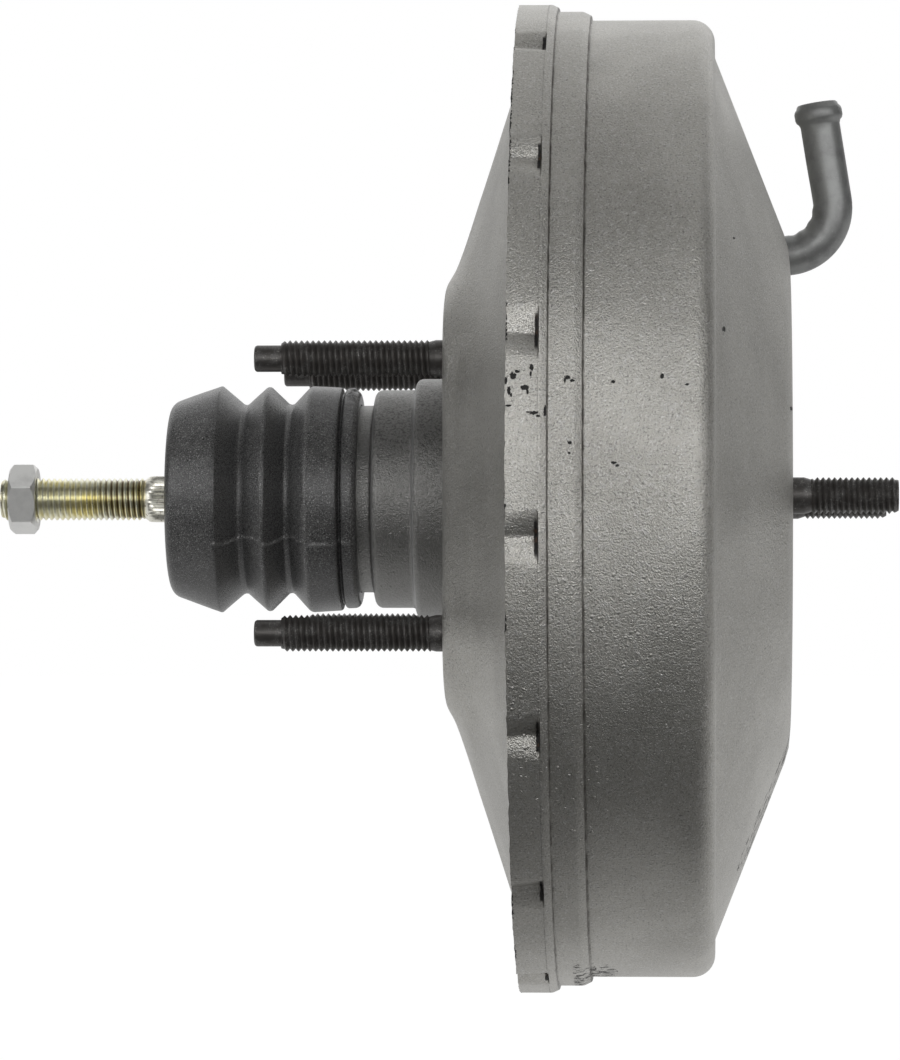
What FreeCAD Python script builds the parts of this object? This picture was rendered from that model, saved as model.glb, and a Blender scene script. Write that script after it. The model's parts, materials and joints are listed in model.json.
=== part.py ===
"""Single-diaphragm vacuum brake booster: pressed shells, studs, power piston, valve and input rod.

Millimetres. X runs along the booster from the pedal side to the master cylinder side and Z is up.
The origin is the middle of the mounting face that sits on the firewall.
"""
import FreeCAD, Part
import math
import os
from FreeCAD import Vector

# Fits
SLIDE_CLEAR = 0.05      # radial room of a shaft that runs in its bore
PIECE_CLEAR = 0.1       # room between fixed pieces that are put together
BODY_CLEAR = 0.3        # room between a moving piece and what it passes or rests against
AXIS_END = 0.0

# Rounding of edges
EDGE_FINE = 0.4
EDGE_SMALL = 0.8
EDGE_ROUND = 1.0

# Rear shell, on the pedal side
REAR_SHEET = 1.8
PLATEAU_WIDTH = 108.0
PLATEAU_HEIGHT = 93.0
PLATEAU_CORNER = 22.0
PLATEAU_EDGE = 4.5
REAR_CONE = 17.9        # length of the cone along the axis
REAR_CONE_FOOT = 6.7
REAR_WALL_GAP = 4.1     # between the walls of the two shells
RIM_GAP = 1.3           # between the rim and the crimped band round it
REAR_DEPTH = 24.4
NECK_A_R = 27.1
NECK_B_R = 24.6
NECK_C_R = 21.1
NECK_A_LENGTH = 8.0
NECK_B_LENGTH = 9.2
NECK_C_LENGTH = 8.8
NECK_BEND = 2.4
REAR_WALL_BEND = 5.0
RIM_BEND = 1.5

# Front shell, on the master cylinder side
FRONT_SHEET = 1.6
FLANGE_BAND = 9.0       # length of the crimped band round the rear shell's rim
FLANGE_AHEAD = 0.4      # how far the band's step stands ahead of the rim
BAND_STEP = 1.6
SHOULDER_STEP = 2.0
FRONT_WALL_R = 107.5
BEAD_BAND = 6.85
FRONT_WALL = 28.15
FRONT_CORNER = 3.8
SHOULDER_WIDTH = 9.8
SHOULDER_BEND = 3.0
FRONT_CONE = 16.2       # length of the cone along the axis
FRONT_FACE_R = 56.3
FACE_BEND = 18.0
PILOT_R = 18.5
PILOT_DEPTH = 10.0
PILOT_HOLE_R = 12.0
PILOT_BEND = 1.6
PILOT_LIP = 2.0
LANCES = 16
LANCE_FIRST_DEG = 95.1  # from straight up, turning towards -Y
LANCE_LENGTH = 6.7
LANCE_DEPTH = 2.4
LANCE_START_DEPTH = 0.9
LANCE_HALF = 6.0
LANCE_START_HALF = 4.5

# Studs
STUD_R = 4.0
STUD_SHANK_R = 4.4      # pressed shank in the sheets, stouter than the thread
STUD_HOLE_CLEAR = 0.1
STUD_INSET_Y = 11.0     # from the plateau's sides to the middles of its studs
STUD_INSET_Z = 16.5
FIREWALL_STUD_LENGTH = 41.3
STUD_DOG_R = 2.9
STUD_DOG = 6.0
STUD_HEAD_R = 6.5
STUD_HEAD = 2.7
CYLINDER_SPACING = 82.0
CYLINDER_STUD_LENGTH = 23.1
CYLINDER_POINT = 1.8
PLATE_SHEET = 2.5
REAR_PLATE_INSET_Y = 3.5    # from the plateau's sides to the plate inside it
REAR_PLATE_INSET_Z = 5.5
REAR_PLATE_CORNER = 14.0
FRONT_PLATE_WIDTH = 104.0
FRONT_PLATE_HEIGHT = 60.0
FRONT_PLATE_CORNER = 28.0

# Vacuum nipple, a bent steel tube with a rolled bead
TUBE_R = 4.5
TUBE_WALL = 1.3
NIPPLE_Y = 14.0
NIPPLE_Z = 55.6
NIPPLE_INSIDE = 4.0
NIPPLE_BEND_R = 11.0
NIPPLE_BEND_X = 75.1
NIPPLE_TURN_DEG = 99.0
NIPPLE_RUN = 22.3
NIPPLE_BEAD_R = 5.45
NIPPLE_BEAD = 3.2
NIPPLE_BEAD_BACK = 2.6

# Seals
FRONT_SEAL = 5.0
FRONT_SEAL_RIM = 2.2
FRONT_SEAL_BORE_WALL = 2.0
FRONT_SEAL_COLLAR = 4.0
SEAL_CUP_HOLE = 7.0     # how far the cup's hole stands off the push rod
SEAL_CUP_LAP = 3.5
REAR_SEAL_WALL = 1.8
REAR_SEAL_BASE = 2.0
REAR_SEAL_LIP = 1.6
REAR_SEAL_BACK = 0.6

# Power piston
BODY_R = 18.9
BODY_REAR = -54.0
HUB_R = 30.0
HUB_X = 11.5
HUB_THICK = 5.5
BOSS_R = 17.0
BOSS_FRONT = 28.0
BEAD_SLOT_R = 17.4
DISC_R = 11.0
DISC_REAR = 19.7
DISC_THICK = 4.5
REAR_BORE_R = 15.0
SEAT_WEB_X = -14.0
SEAT_WEB = 2.4
COUNTER_R = 10.0
SEAT_R = 12.0
SEAT_RIM = 1.2
SEAT_HEIGHT = 2.6
PLUNGER_R = 6.9
PASSAGE_R = 1.3
PASSAGE_RADIUS = 13.4
PASSAGES = 3

# Diaphragm and its plate
WEB_X = 8.5
WEB_THICK = 1.6
WEB_MARGIN = 15.5       # from the plateau's radius to the end of the flat web
WEB_BEND = 8.0
PLATE_THICK = 1.4
PLATE_GAP = 6.8         # between the plate's rim and the rear shell's wall
PLATE_RIM = 6.0
PLATE_BEND = 2.5
LEG_BEND = 3.0
INNER_BEAD = 2.6
BEAD_LEDGE = 0.7
BEAD_THICK = 5.4
LOBE_X = 36.0

# Stop key, valve and input rod
KEY_X = 1.0
KEY_THICK = 2.0
KEY_WIDTH = 12.0
KEY_R = 24.0
VALVE_TRAVEL = 2.0
GROOVE_R = 4.0
BALL_X = -8.0
BALL_R = 5.0
SOCKET_LIP_R = 4.3
PLUNGER_FLANGE_R = 9.5
PLUNGER_FLANGE = 2.5
PLUNGER_BACK = 0.4      # how far the plunger's flange stands behind the seat web
POPPET_R = 14.0
POPPET_HOLE_R = 5.5
POPPET_DISC = 2.3
POPPET_TUBE_WALL = 1.6
POPPET_LENGTH = 11.0
RETAINER_LENGTH = 4.5
ROD_NECK_R = 3.6
ROD_SHANK_R = 5.1
ROD_COLLAR_R = 9.5
ROD_COLLAR_X = -41.5
ROD_COLLAR = 1.5
ROD_THREAD_R = 4.8
ROD_THREAD_X = -69.0
ROD_TIP_X = -102.2
ROD_CHAMFER = 1.2
NUT_FLATS = 14.0
NUT_THICK = 6.5
NUT_BACK = 1.6          # how far the nut stands back from the rod's tip
NUT_TURN_DEG = 41.2
SWING_ROOM = 2.6        # sideways room round the rod where it swings
FILTER_THICK = 5.6
SILENCER_THICK = 4.4

# Push rod to the master cylinder
PUSH_R = 5.5
PUSH_HEAD = 3.5
PUSH_END = 60.0
PUSH_BOLT_R = 3.4
PUSH_BOLT = 5.5
CAP_HOLE = 2.0          # room between the push rod and its stamped cap
CAP_GAP = 2.0
CAP_SHEET = 1.2

# Rubber boot
BOOT_WALL = 1.7
BOOT_END_X = -63.5
BOOT_END_R = 21.6
BOOT_PEAK_R = 25.6
BOOT_VALLEY_R = 20.9
BOOT_PEAK_1 = -52.0
BOOT_VALLEY_1 = -46.5
BOOT_PEAK_2 = -41.2
BOOT_VALLEY_2 = -36.2
BOOT_SHOULDER = -31.7
BOOT_GROOVE_X = -23.6
BOOT_GROOVE = 1.2
BOOT_LIP_X = -19.7
BOOT_LIP_R = 24.6
BOOT_BEND = 3.0
BOOT_TAPER = 0.4
BOOT_LIP_BEND = 1.5

# Springs
RETURN_WIRE = 3.6
RETURN_R = 25.2
RETURN_TURNS = 6
POPPET_WIRE = 1.0
POPPET_SPRING_R = 10.4
ROD_WIRE = 1.5
ROD_SPRING_R = 8.2
SMALL_TURNS = 4
WIRE_FLATS = 12         # the wire's section as a polygon of the circle's area

# Places worked out from the sizes above
PLATEAU_X = 0.0
CONE_BASE_R = PLATEAU_HEIGHT / 2
REAR_WALL_R = FRONT_WALL_R - FRONT_SHEET - REAR_WALL_GAP
REAR_CONE_RATIO = (REAR_WALL_R - CONE_BASE_R) / REAR_CONE
CONE_FOOT_R = CONE_BASE_R + REAR_CONE_RATIO * REAR_CONE_FOOT
RIM_X = REAR_DEPTH - REAR_SHEET
NECK_AB = PLATEAU_X - NECK_A_LENGTH
NECK_BC = NECK_AB - NECK_B_LENGTH
NECK_END = NECK_BC - NECK_C_LENGTH
FLANGE_FRONT = REAR_DEPTH + FLANGE_AHEAD
FLANGE_REAR = FLANGE_FRONT - FLANGE_BAND
BEAD_BAND_R = FRONT_WALL_R + SHOULDER_STEP
FLANGE_R = BEAD_BAND_R + BAND_STEP
RIM_R = FLANGE_R - FRONT_SHEET - RIM_GAP
SHOULDER_R = FRONT_WALL_R - SHOULDER_WIDTH
BAND_END = FLANGE_FRONT + BEAD_BAND
SHOULDER_X = BAND_END + FRONT_WALL
FACE_X = SHOULDER_X + FRONT_CONE
SLIT_X = RIM_X - PIECE_CLEAR
FACE_INSIDE = FACE_X - FRONT_SHEET
FRONT_PLATE_X = FACE_INSIDE - PLATE_SHEET
REAR_PLATE_X = REAR_SHEET
FIREWALL_SPACING_Y = PLATEAU_WIDTH - 2 * STUD_INSET_Y
FIREWALL_SPACING_Z = PLATEAU_HEIGHT - 2 * STUD_INSET_Z
REAR_PLATE_WIDTH = PLATEAU_WIDTH - 2 * REAR_PLATE_INSET_Y
REAR_PLATE_HEIGHT = PLATEAU_HEIGHT - 2 * REAR_PLATE_INSET_Z
PILOT_BASE_X = FACE_X - PILOT_DEPTH
PILOT_BACK_X = PILOT_BASE_X - FRONT_SHEET
PILOT_OUTER_R = PILOT_R + FRONT_SHEET
DISC_FRONT = DISC_REAR + DISC_THICK
HEAD_FRONT = DISC_FRONT + PUSH_HEAD
HUB_FRONT = HUB_X + HUB_THICK
PLATE_REAR_X = WEB_X + WEB_THICK
PLATE_R = REAR_WALL_R - PLATE_GAP
WEB_FLAT_R = CONE_BASE_R + WEB_MARGIN
NECK_A_BORE = NECK_A_R - REAR_SHEET
NECK_B_BORE = NECK_B_R - REAR_SHEET
KEY_FRONT = KEY_X + KEY_THICK
SEAL_RETAINER_X = KEY_X - BODY_CLEAR - CAP_SHEET
PLUNGER_REAR = SEAT_WEB_X - PLUNGER_FLANGE - PLUNGER_BACK
POPPET_FACE = PLUNGER_REAR - PIECE_CLEAR
POPPET_REAR = POPPET_FACE - POPPET_LENGTH
RETAINER_X = POPPET_REAR - CAP_SHEET
RETAINER_REAR = POPPET_REAR - RETAINER_LENGTH
NUT_X = ROD_TIP_X + NUT_BACK
FILTER_FRONT = BODY_REAR + CAP_SHEET + FILTER_THICK
BEAD_X = REAR_DEPTH + 2 * PIECE_CLEAR
BEAD_INNER_R = REAR_WALL_R + BEAD_LEDGE
BEAD_OUTER_R = BEAD_BAND_R - FRONT_SHEET - BODY_CLEAR


def meet(first, second):
    """Point where two lines, each given by a point and a direction, cross in the X-radius plane."""
    (ax, ar, adx, adr), (bx, br, bdx, bdr) = first, second
    cross = adx * bdr - adr * bdx
    along = ((bx - ax) * bdr - (br - ar) * bdx) / cross
    return ax + along * adx, ar + along * adr


def turn_of(before, corner, after):
    """Signed turn of an outline at a corner: positive where it turns left."""
    ax, ar = corner[0] - before[0], corner[1] - before[1]
    bx, br = after[0] - corner[0], after[1] - corner[1]
    return ax * br - ar * bx


def offset_path(path, distance):
    """Same open path moved to its right by a distance, with its corner radii following."""
    lines = []
    for start, end in zip(path, path[1:]):
        dx, dr = end[0] - start[0], end[1] - start[1]
        length = math.hypot(dx, dr)
        shift_x, shift_r = dr / length * distance, -dx / length * distance
        lines.append((start[0] + shift_x, start[1] + shift_r, dx, dr))
    last_x = path[-1][0] + lines[-1][0] - path[-2][0]
    last_r = path[-1][1] + lines[-1][1] - path[-2][1]
    moved = [(lines[0][0], lines[0][1])]
    for index in range(1, len(path) - 1):
        x, r = meet(lines[index - 1], lines[index])
        corner = path[index]
        bend = corner[2] if len(corner) > 2 else 0.0
        left = turn_of(path[index - 1], corner, path[index + 1]) > 0
        bend = bend + distance if left else max(bend - distance, 0.0)
        moved.append((x, r, bend))
    moved.append((last_x, last_r))
    return moved


def rounded_edges(corners):
    """Edges of a closed outline in the X-Z plane; a corner's third number is its radius."""
    points = [Vector(corner[0], 0, corner[1]) for corner in corners]
    count = len(corners)
    spans = []
    for index, corner in enumerate(corners):
        here = points[index]
        back = (points[index - 1] - here).normalize()
        ahead = (points[(index + 1) % count] - here).normalize()
        bend = corner[2] if len(corner) > 2 else 0.0
        half = back.getAngle(ahead) / 2
        if bend < 1e-6 or abs(half - math.pi / 2) < 1e-4:
            spans.append((here, None, here))
            continue
        reach = bend / math.tan(half)
        middle_way = (back + ahead).normalize()
        centre = here + middle_way * (bend / math.sin(half))
        middle = centre - middle_way * bend
        spans.append((here + back * reach, middle, here + ahead * reach))
    edges = []
    for index, (start, middle, end) in enumerate(spans):
        if middle is not None:
            edges.append(Part.Arc(start, middle, end).toShape())
        following = spans[(index + 1) % count][0]
        if (following - end).Length > 1e-6:
            edges.append(Part.LineSegment(end, following).toShape())
    return edges


def turned(corners):
    """Solid of revolution about the booster's axis from a closed outline of (x, radius, bend)."""
    wire = Part.Wire(rounded_edges(corners))
    return Part.Face(wire).revolve(Vector(0, 0, 0), Vector(1, 0, 0), 360)


def ring(x_low, x_high, r_inner, r_outer, bend=0.0):
    """Plain ring between two stations; bend rounds its four edges."""
    corners = [(x_low, r_inner), (x_high, r_inner), (x_high, r_outer), (x_low, r_outer)]
    return turned([(x, r, bend) for x, r in corners])


def rod(x_low, x_high, radius, y=0.0, z=0.0):
    """Round bar along X."""
    return Part.makeCylinder(radius, x_high - x_low, Vector(x_low, y, z), Vector(1, 0, 0))


def sheet_turned(path, sheet):
    """Revolved sheet whose visible skin follows the path; the metal lies to the path's right."""
    return turned(list(path) + list(reversed(offset_path(path, sheet))))


def rounded_rectangle(x, half_y, half_z, corner):
    """Closed wire of four sides and four arcs across the axis, starting at +Y."""
    flat_y, flat_z = half_y - corner, half_z - corner
    diagonal = corner * math.sqrt(0.5)
    edges = []
    for quarter in range(4):
        turn = FreeCAD.Rotation(Vector(1, 0, 0), 90 * quarter)
        side, height = (half_y, half_z) if quarter % 2 == 0 else (half_z, half_y)
        flat_s, flat_h = (flat_y, flat_z) if quarter % 2 == 0 else (flat_z, flat_y)
        line = [Vector(x, side, -flat_h), Vector(x, side, flat_h)]
        arc = [line[1], Vector(x, flat_s + diagonal, flat_h + diagonal), Vector(x, flat_s, height)]
        edges.append(Part.LineSegment(*[turn.multVec(point) for point in line]).toShape())
        edges.append(Part.Arc(*[turn.multVec(point) for point in arc]).toShape())
    return Part.Wire(edges)


def circle_in_eight(x, radius, half_y, half_z, corner):
    """Circle across the axis, cut at the bearings of the rounded rectangle's eight ends."""
    flat_y, flat_z = half_y - corner, half_z - corner
    low = math.atan2(flat_z, half_y)
    high = math.atan2(half_z, flat_y)
    quarter = [low, high, math.pi - high, math.pi - low]
    cuts = [-low] + quarter + [math.pi + cut for cut in quarter]
    edges = []
    for start, end in zip(cuts, cuts[1:]):
        bearings = (start, (start + end) / 2, end)
        points = [Vector(x, radius * math.cos(a), radius * math.sin(a)) for a in bearings]
        edges.append(Part.Arc(*points).toShape())
    return Part.Wire(edges)


def inset(sheet, rise):
    """How much smaller a face's half-width is on the inside of a sheet, beside a sloping wall."""
    return sheet * (math.sqrt(1 + rise * rise) - rise)


def cone_lag(sheet, rise):
    """Distance along the axis between the outside and the inside of a sloping sheet."""
    return sheet * math.sqrt(1 + 1 / (rise * rise))


def plateau_block(x, half_y, half_z, corner, foot_x, foot_r, edge_bend):
    """Solid under the mounting plateau, from its rounded rectangle to the circle of the cone."""
    base = rounded_rectangle(x, half_y, half_z, corner)
    foot = circle_in_eight(foot_x, foot_r, half_y, half_z, corner)
    block = Part.makeLoft([base, foot], True, True)
    rim = [edge for edge in block.Edges if edge.BoundBox.XMax - x < 1e-4]
    return block.makeFillet(edge_bend, rim)


def rear_plug(neck, wall_r, cone_base_r, plateau_x, depth, rim):
    """Solid bounded by one side of the rear shell; neck and rim are the two ends of its outline."""
    top_x = (wall_r - cone_base_r) / REAR_CONE_RATIO + plateau_x
    start_x = plateau_x + REAR_CONE_FOOT
    start_r = cone_base_r + REAR_CONE_RATIO * REAR_CONE_FOOT
    cone = [(start_x, AXIS_END), (start_x, start_r), (top_x, wall_r, REAR_WALL_BEND)] + rim
    return turned(neck).fuse([turned(cone + [(depth, AXIS_END)])])


def rear_shell():
    """Pressed rear shell with its stepped neck, mounting plateau, cone, wall and rim."""
    half_y, half_z = PLATEAU_WIDTH / 2, PLATEAU_HEIGHT / 2
    side_rise = (CONE_FOOT_R - half_y) / REAR_CONE_FOOT
    neck = [
        (NECK_END, AXIS_END),
        (NECK_END, NECK_C_R),
        (NECK_BC, NECK_C_R, NECK_BEND / 2),
        (NECK_BC, NECK_B_R, NECK_BEND),
        (NECK_AB, NECK_B_R, NECK_BEND / 2),
        (NECK_AB, NECK_A_R, NECK_BEND * 0.75),
        (PLATEAU_X, NECK_A_R),
        (REAR_SHEET, NECK_A_R),
        (REAR_SHEET, AXIS_END),
    ]
    rim = [(RIM_X, REAR_WALL_R, RIM_BEND), (RIM_X, RIM_R), (REAR_DEPTH, RIM_R)]
    outside = rear_plug(neck, REAR_WALL_R, CONE_BASE_R, PLATEAU_X, REAR_DEPTH, rim)
    outside = outside.fuse(
        plateau_block(
            PLATEAU_X, half_y, half_z, PLATEAU_CORNER, REAR_CONE_FOOT, CONE_FOOT_R, PLATEAU_EDGE
        )
    )
    bore = NECK_C_R - REAR_SHEET
    inner_neck = [
        (NECK_END - REAR_SHEET, AXIS_END),
        (NECK_END - REAR_SHEET, bore),
        (NECK_BC + REAR_SHEET, bore, NECK_BEND / 2 + REAR_SHEET),
        (NECK_BC + REAR_SHEET, NECK_B_BORE, NECK_BEND - REAR_SHEET),
        (NECK_AB + REAR_SHEET, NECK_B_BORE, NECK_BEND / 2),
        (NECK_AB + REAR_SHEET, NECK_A_BORE),
        (REAR_SHEET, NECK_A_BORE, REAR_SHEET),
        (REAR_SHEET, NECK_A_BORE + 2 * REAR_SHEET),
        (2 * REAR_SHEET, NECK_A_BORE + 2 * REAR_SHEET),
        (2 * REAR_SHEET, AXIS_END),
    ]
    lag = cone_lag(REAR_SHEET, REAR_CONE_RATIO)
    wall = REAR_WALL_R - REAR_SHEET
    beyond = REAR_DEPTH + REAR_SHEET
    open_rim = [(REAR_DEPTH, wall, RIM_BEND + REAR_SHEET), (REAR_DEPTH, wall + 2 * REAR_SHEET)]
    open_rim.append((beyond, wall + 2 * REAR_SHEET))
    inside = rear_plug(inner_neck, wall, CONE_BASE_R, PLATEAU_X + lag, beyond, open_rim)
    inside = inside.fuse(
        plateau_block(
            REAR_SHEET,
            half_y - inset(REAR_SHEET, side_rise),
            half_z - inset(REAR_SHEET, REAR_CONE_RATIO),
            PLATEAU_CORNER - inset(REAR_SHEET, side_rise),
            PLATEAU_X + lag + REAR_CONE_FOOT,
            CONE_FOOT_R,
            PLATEAU_EDGE - REAR_SHEET,
        )
    )
    shell = outside.cut(inside)
    return shell.cut([firewall_bar(y, z, STUD_SHANK_R + STUD_HOLE_CLEAR) for y, z in firewall_places()])


def firewall_places():
    """Middles of the four firewall studs."""
    half_y, half_z = FIREWALL_SPACING_Y / 2, FIREWALL_SPACING_Z / 2
    return [(y, z) for y in (-half_y, half_y) for z in (-half_z, half_z)]


def firewall_bar(y, z, radius):
    """Bar through the plateau and its plate at one firewall stud."""
    return rod(-REAR_SHEET, REAR_PLATE_X + PLATE_SHEET + 1, radius, y, z)


def cylinder_places():
    """Middles of the two master cylinder studs."""
    return [(-CYLINDER_SPACING / 2, 0.0), (CYLINDER_SPACING / 2, 0.0)]


def front_shell():
    """Pressed front shell: crimped band with its lances, wall, cone, face and pilot cup."""
    band_slope, step_slope = BAND_STEP / 2, SHOULDER_STEP / 2
    path = [
        (PILOT_BASE_X, PILOT_HOLE_R),
        (PILOT_BASE_X, PILOT_R, PILOT_BEND),
        (FACE_X, PILOT_R, PILOT_LIP),
        (FACE_X, FRONT_FACE_R, FACE_BEND),
        (SHOULDER_X, SHOULDER_R, SHOULDER_BEND),
        (SHOULDER_X, FRONT_WALL_R, FRONT_CORNER),
        (BAND_END + step_slope, FRONT_WALL_R, EDGE_ROUND),
        (BAND_END - step_slope, BEAD_BAND_R, EDGE_ROUND),
        (FLANGE_FRONT + band_slope, BEAD_BAND_R, EDGE_ROUND),
        (FLANGE_FRONT - band_slope, FLANGE_R, EDGE_ROUND),
        (FLANGE_REAR, FLANGE_R),
    ]
    shell = sheet_turned(list(reversed(path)), FRONT_SHEET)
    tongues = [lance_wedge(index, FRONT_SHEET * 1.04, True) for index in range(LANCES)]
    pockets = [lance_wedge(index, 0.0, False) for index in range(LANCES)]
    shell = shell.fuse(tongues)
    hole_r = STUD_SHANK_R + STUD_HOLE_CLEAR
    holes = [rod(PILOT_BACK_X, FACE_X + 1, hole_r, y, z) for y, z in cylinder_places()]
    port = rod(
        FRONT_PLATE_X - NIPPLE_INSIDE, FACE_X + 1, TUBE_R + PIECE_CLEAR / 2, NIPPLE_Y, NIPPLE_Z
    )
    return shell.cut(pockets + holes + [port])


def lance_wedge(index, sunk, tongue):
    """V of one lance: the pocket outside, or the tongue of metal that it pushes inwards."""
    top = -FRONT_SHEET / 2 if tongue else 1.0
    sections = []
    start = FLANGE_REAR if tongue else FLANGE_REAR - 1.0
    lead = 0.0 if tongue else 1.0 / LANCE_LENGTH
    start_depth = LANCE_START_DEPTH - lead * (LANCE_DEPTH - LANCE_START_DEPTH)
    for x, depth, half in (
        (start, start_depth, LANCE_START_HALF),
        (SLIT_X, LANCE_DEPTH, LANCE_HALF),
    ):
        apex = FLANGE_R - depth - sunk
        wide = half * (FLANGE_R + top - apex) / depth
        corners = [(-wide, FLANGE_R + top), (wide, FLANGE_R + top), (0.0, apex)]
        points = [Vector(x, -side, height) for side, height in corners]
        sections.append(Part.makePolygon(points + points[:1]))
    wedge = Part.makeLoft(sections, True, True)
    bearing = LANCE_FIRST_DEG + index * 360.0 / LANCES
    wedge.rotate(Vector(0, 0, 0), Vector(1, 0, 0), bearing)
    return wedge


def rounded_plate(x, width, height, corner, hole_r, stud_places):
    """Flat reinforcement with a middle hole and its stud holes."""
    outline = rounded_rectangle(x, width / 2, height / 2, corner)
    plate = Part.Face(outline).extrude(Vector(PLATE_SHEET, 0, 0))
    cuts = [rod(x - 1, x + PLATE_SHEET + 1, hole_r)]
    for y, z in stud_places:
        cuts.append(rod(x - 1, x + PLATE_SHEET + 1, STUD_SHANK_R + STUD_HOLE_CLEAR, y, z))
    return plate.cut(cuts)


def rear_plate():
    """Reinforcement inside the mounting plateau."""
    hole = NECK_A_BORE + 2 * REAR_SHEET + PIECE_CLEAR
    return rounded_plate(
        REAR_PLATE_X, REAR_PLATE_WIDTH, REAR_PLATE_HEIGHT, REAR_PLATE_CORNER, hole, firewall_places()
    )


def front_plate():
    """Reinforcement inside the front face, round the pilot cup."""
    hole = PILOT_OUTER_R + PILOT_LIP + PIECE_CLEAR
    return rounded_plate(
        FRONT_PLATE_X, FRONT_PLATE_WIDTH, FRONT_PLATE_HEIGHT, FRONT_PLATE_CORNER, hole,
        cylinder_places(),
    )


def firewall_studs():
    """Four studs with flat heads inside and dog points outside."""
    head_x = REAR_PLATE_X + PLATE_SHEET
    profile = [
        (head_x + STUD_HEAD, 0),
        (head_x + STUD_HEAD, STUD_HEAD_R, EDGE_SMALL),
        (head_x, STUD_HEAD_R),
        (head_x, STUD_SHANK_R),
        (PLATEAU_X, STUD_SHANK_R),
        (PLATEAU_X, STUD_R),
        (STUD_DOG - FIREWALL_STUD_LENGTH, STUD_R, EDGE_FINE),
        (STUD_DOG - FIREWALL_STUD_LENGTH - STUD_R + STUD_DOG_R, STUD_DOG_R),
        (-FIREWALL_STUD_LENGTH, STUD_DOG_R, EDGE_SMALL),
        (-FIREWALL_STUD_LENGTH, 0),
    ]
    return spread(turned(profile), firewall_places())


def cylinder_studs():
    """Two studs for the master cylinder."""
    head_x = FRONT_PLATE_X - STUD_HEAD
    tip = FACE_X + CYLINDER_STUD_LENGTH
    profile = [
        (head_x, 0),
        (head_x, STUD_HEAD_R, EDGE_SMALL),
        (FRONT_PLATE_X, STUD_HEAD_R),
        (FRONT_PLATE_X, STUD_SHANK_R),
        (FACE_X, STUD_SHANK_R),
        (FACE_X, STUD_R),
        (tip - CYLINDER_POINT, STUD_R),
        (tip, STUD_R - CYLINDER_POINT / 3, EDGE_FINE),
        (tip, 0),
    ]
    return spread(turned(profile), cylinder_places())


def spread(shape, places):
    """Compound of copies of a shape moved to (y, z) places."""
    copies = []
    for y, z in places:
        copy = shape.copy()
        copy.translate(Vector(0, y, z))
        copies.append(copy)
    return Part.makeCompound(copies)


def nipple_line():
    """Centreline of the nipple: inner end, bend start, middle and end, tip, and the way it points."""
    turn = math.radians(NIPPLE_TURN_DEG)
    centre_z = NIPPLE_Z + NIPPLE_BEND_R

    def on_bend(angle):
        return Vector(
            NIPPLE_BEND_X + NIPPLE_BEND_R * math.sin(angle),
            NIPPLE_Y,
            centre_z - NIPPLE_BEND_R * math.cos(angle),
        )

    inner = Vector(FRONT_PLATE_X - NIPPLE_INSIDE + 1, NIPPLE_Y, NIPPLE_Z)
    end = on_bend(turn)
    heading = Vector(math.cos(turn), 0, math.sin(turn))
    return inner, on_bend(0), on_bend(turn / 2), end, end + heading * NIPPLE_RUN, heading


def vacuum_nipple():
    """Bent steel tube with a rolled bead that keeps the hose on."""
    inner, bend_start, bend_middle, bend_end, tip, heading = nipple_line()
    path = Part.Wire(
        [
            Part.LineSegment(inner, bend_start).toShape(),
            Part.Arc(bend_start, bend_middle, bend_end).toShape(),
            Part.LineSegment(bend_end, tip).toShape(),
        ]
    )

    def along(radius):
        section = Part.Wire([Part.Circle(inner, Vector(1, 0, 0), radius).toShape()])
        return path.makePipeShell([section], True, False)

    bead_base = tip - heading * (NIPPLE_BEAD_BACK + NIPPLE_BEAD / 2)
    bead = Part.makeCylinder(NIPPLE_BEAD_R, NIPPLE_BEAD, bead_base, heading)
    round_r = min(NIPPLE_BEAD / 2, NIPPLE_BEAD_R - TUBE_R) * 0.9
    rims = [edge for edge in bead.Edges if edge.Closed]
    bead = bead.makeFillet(round_r, rims)
    return along(TUBE_R).fuse(bead).cut(along(TUBE_R - TUBE_WALL))


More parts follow.
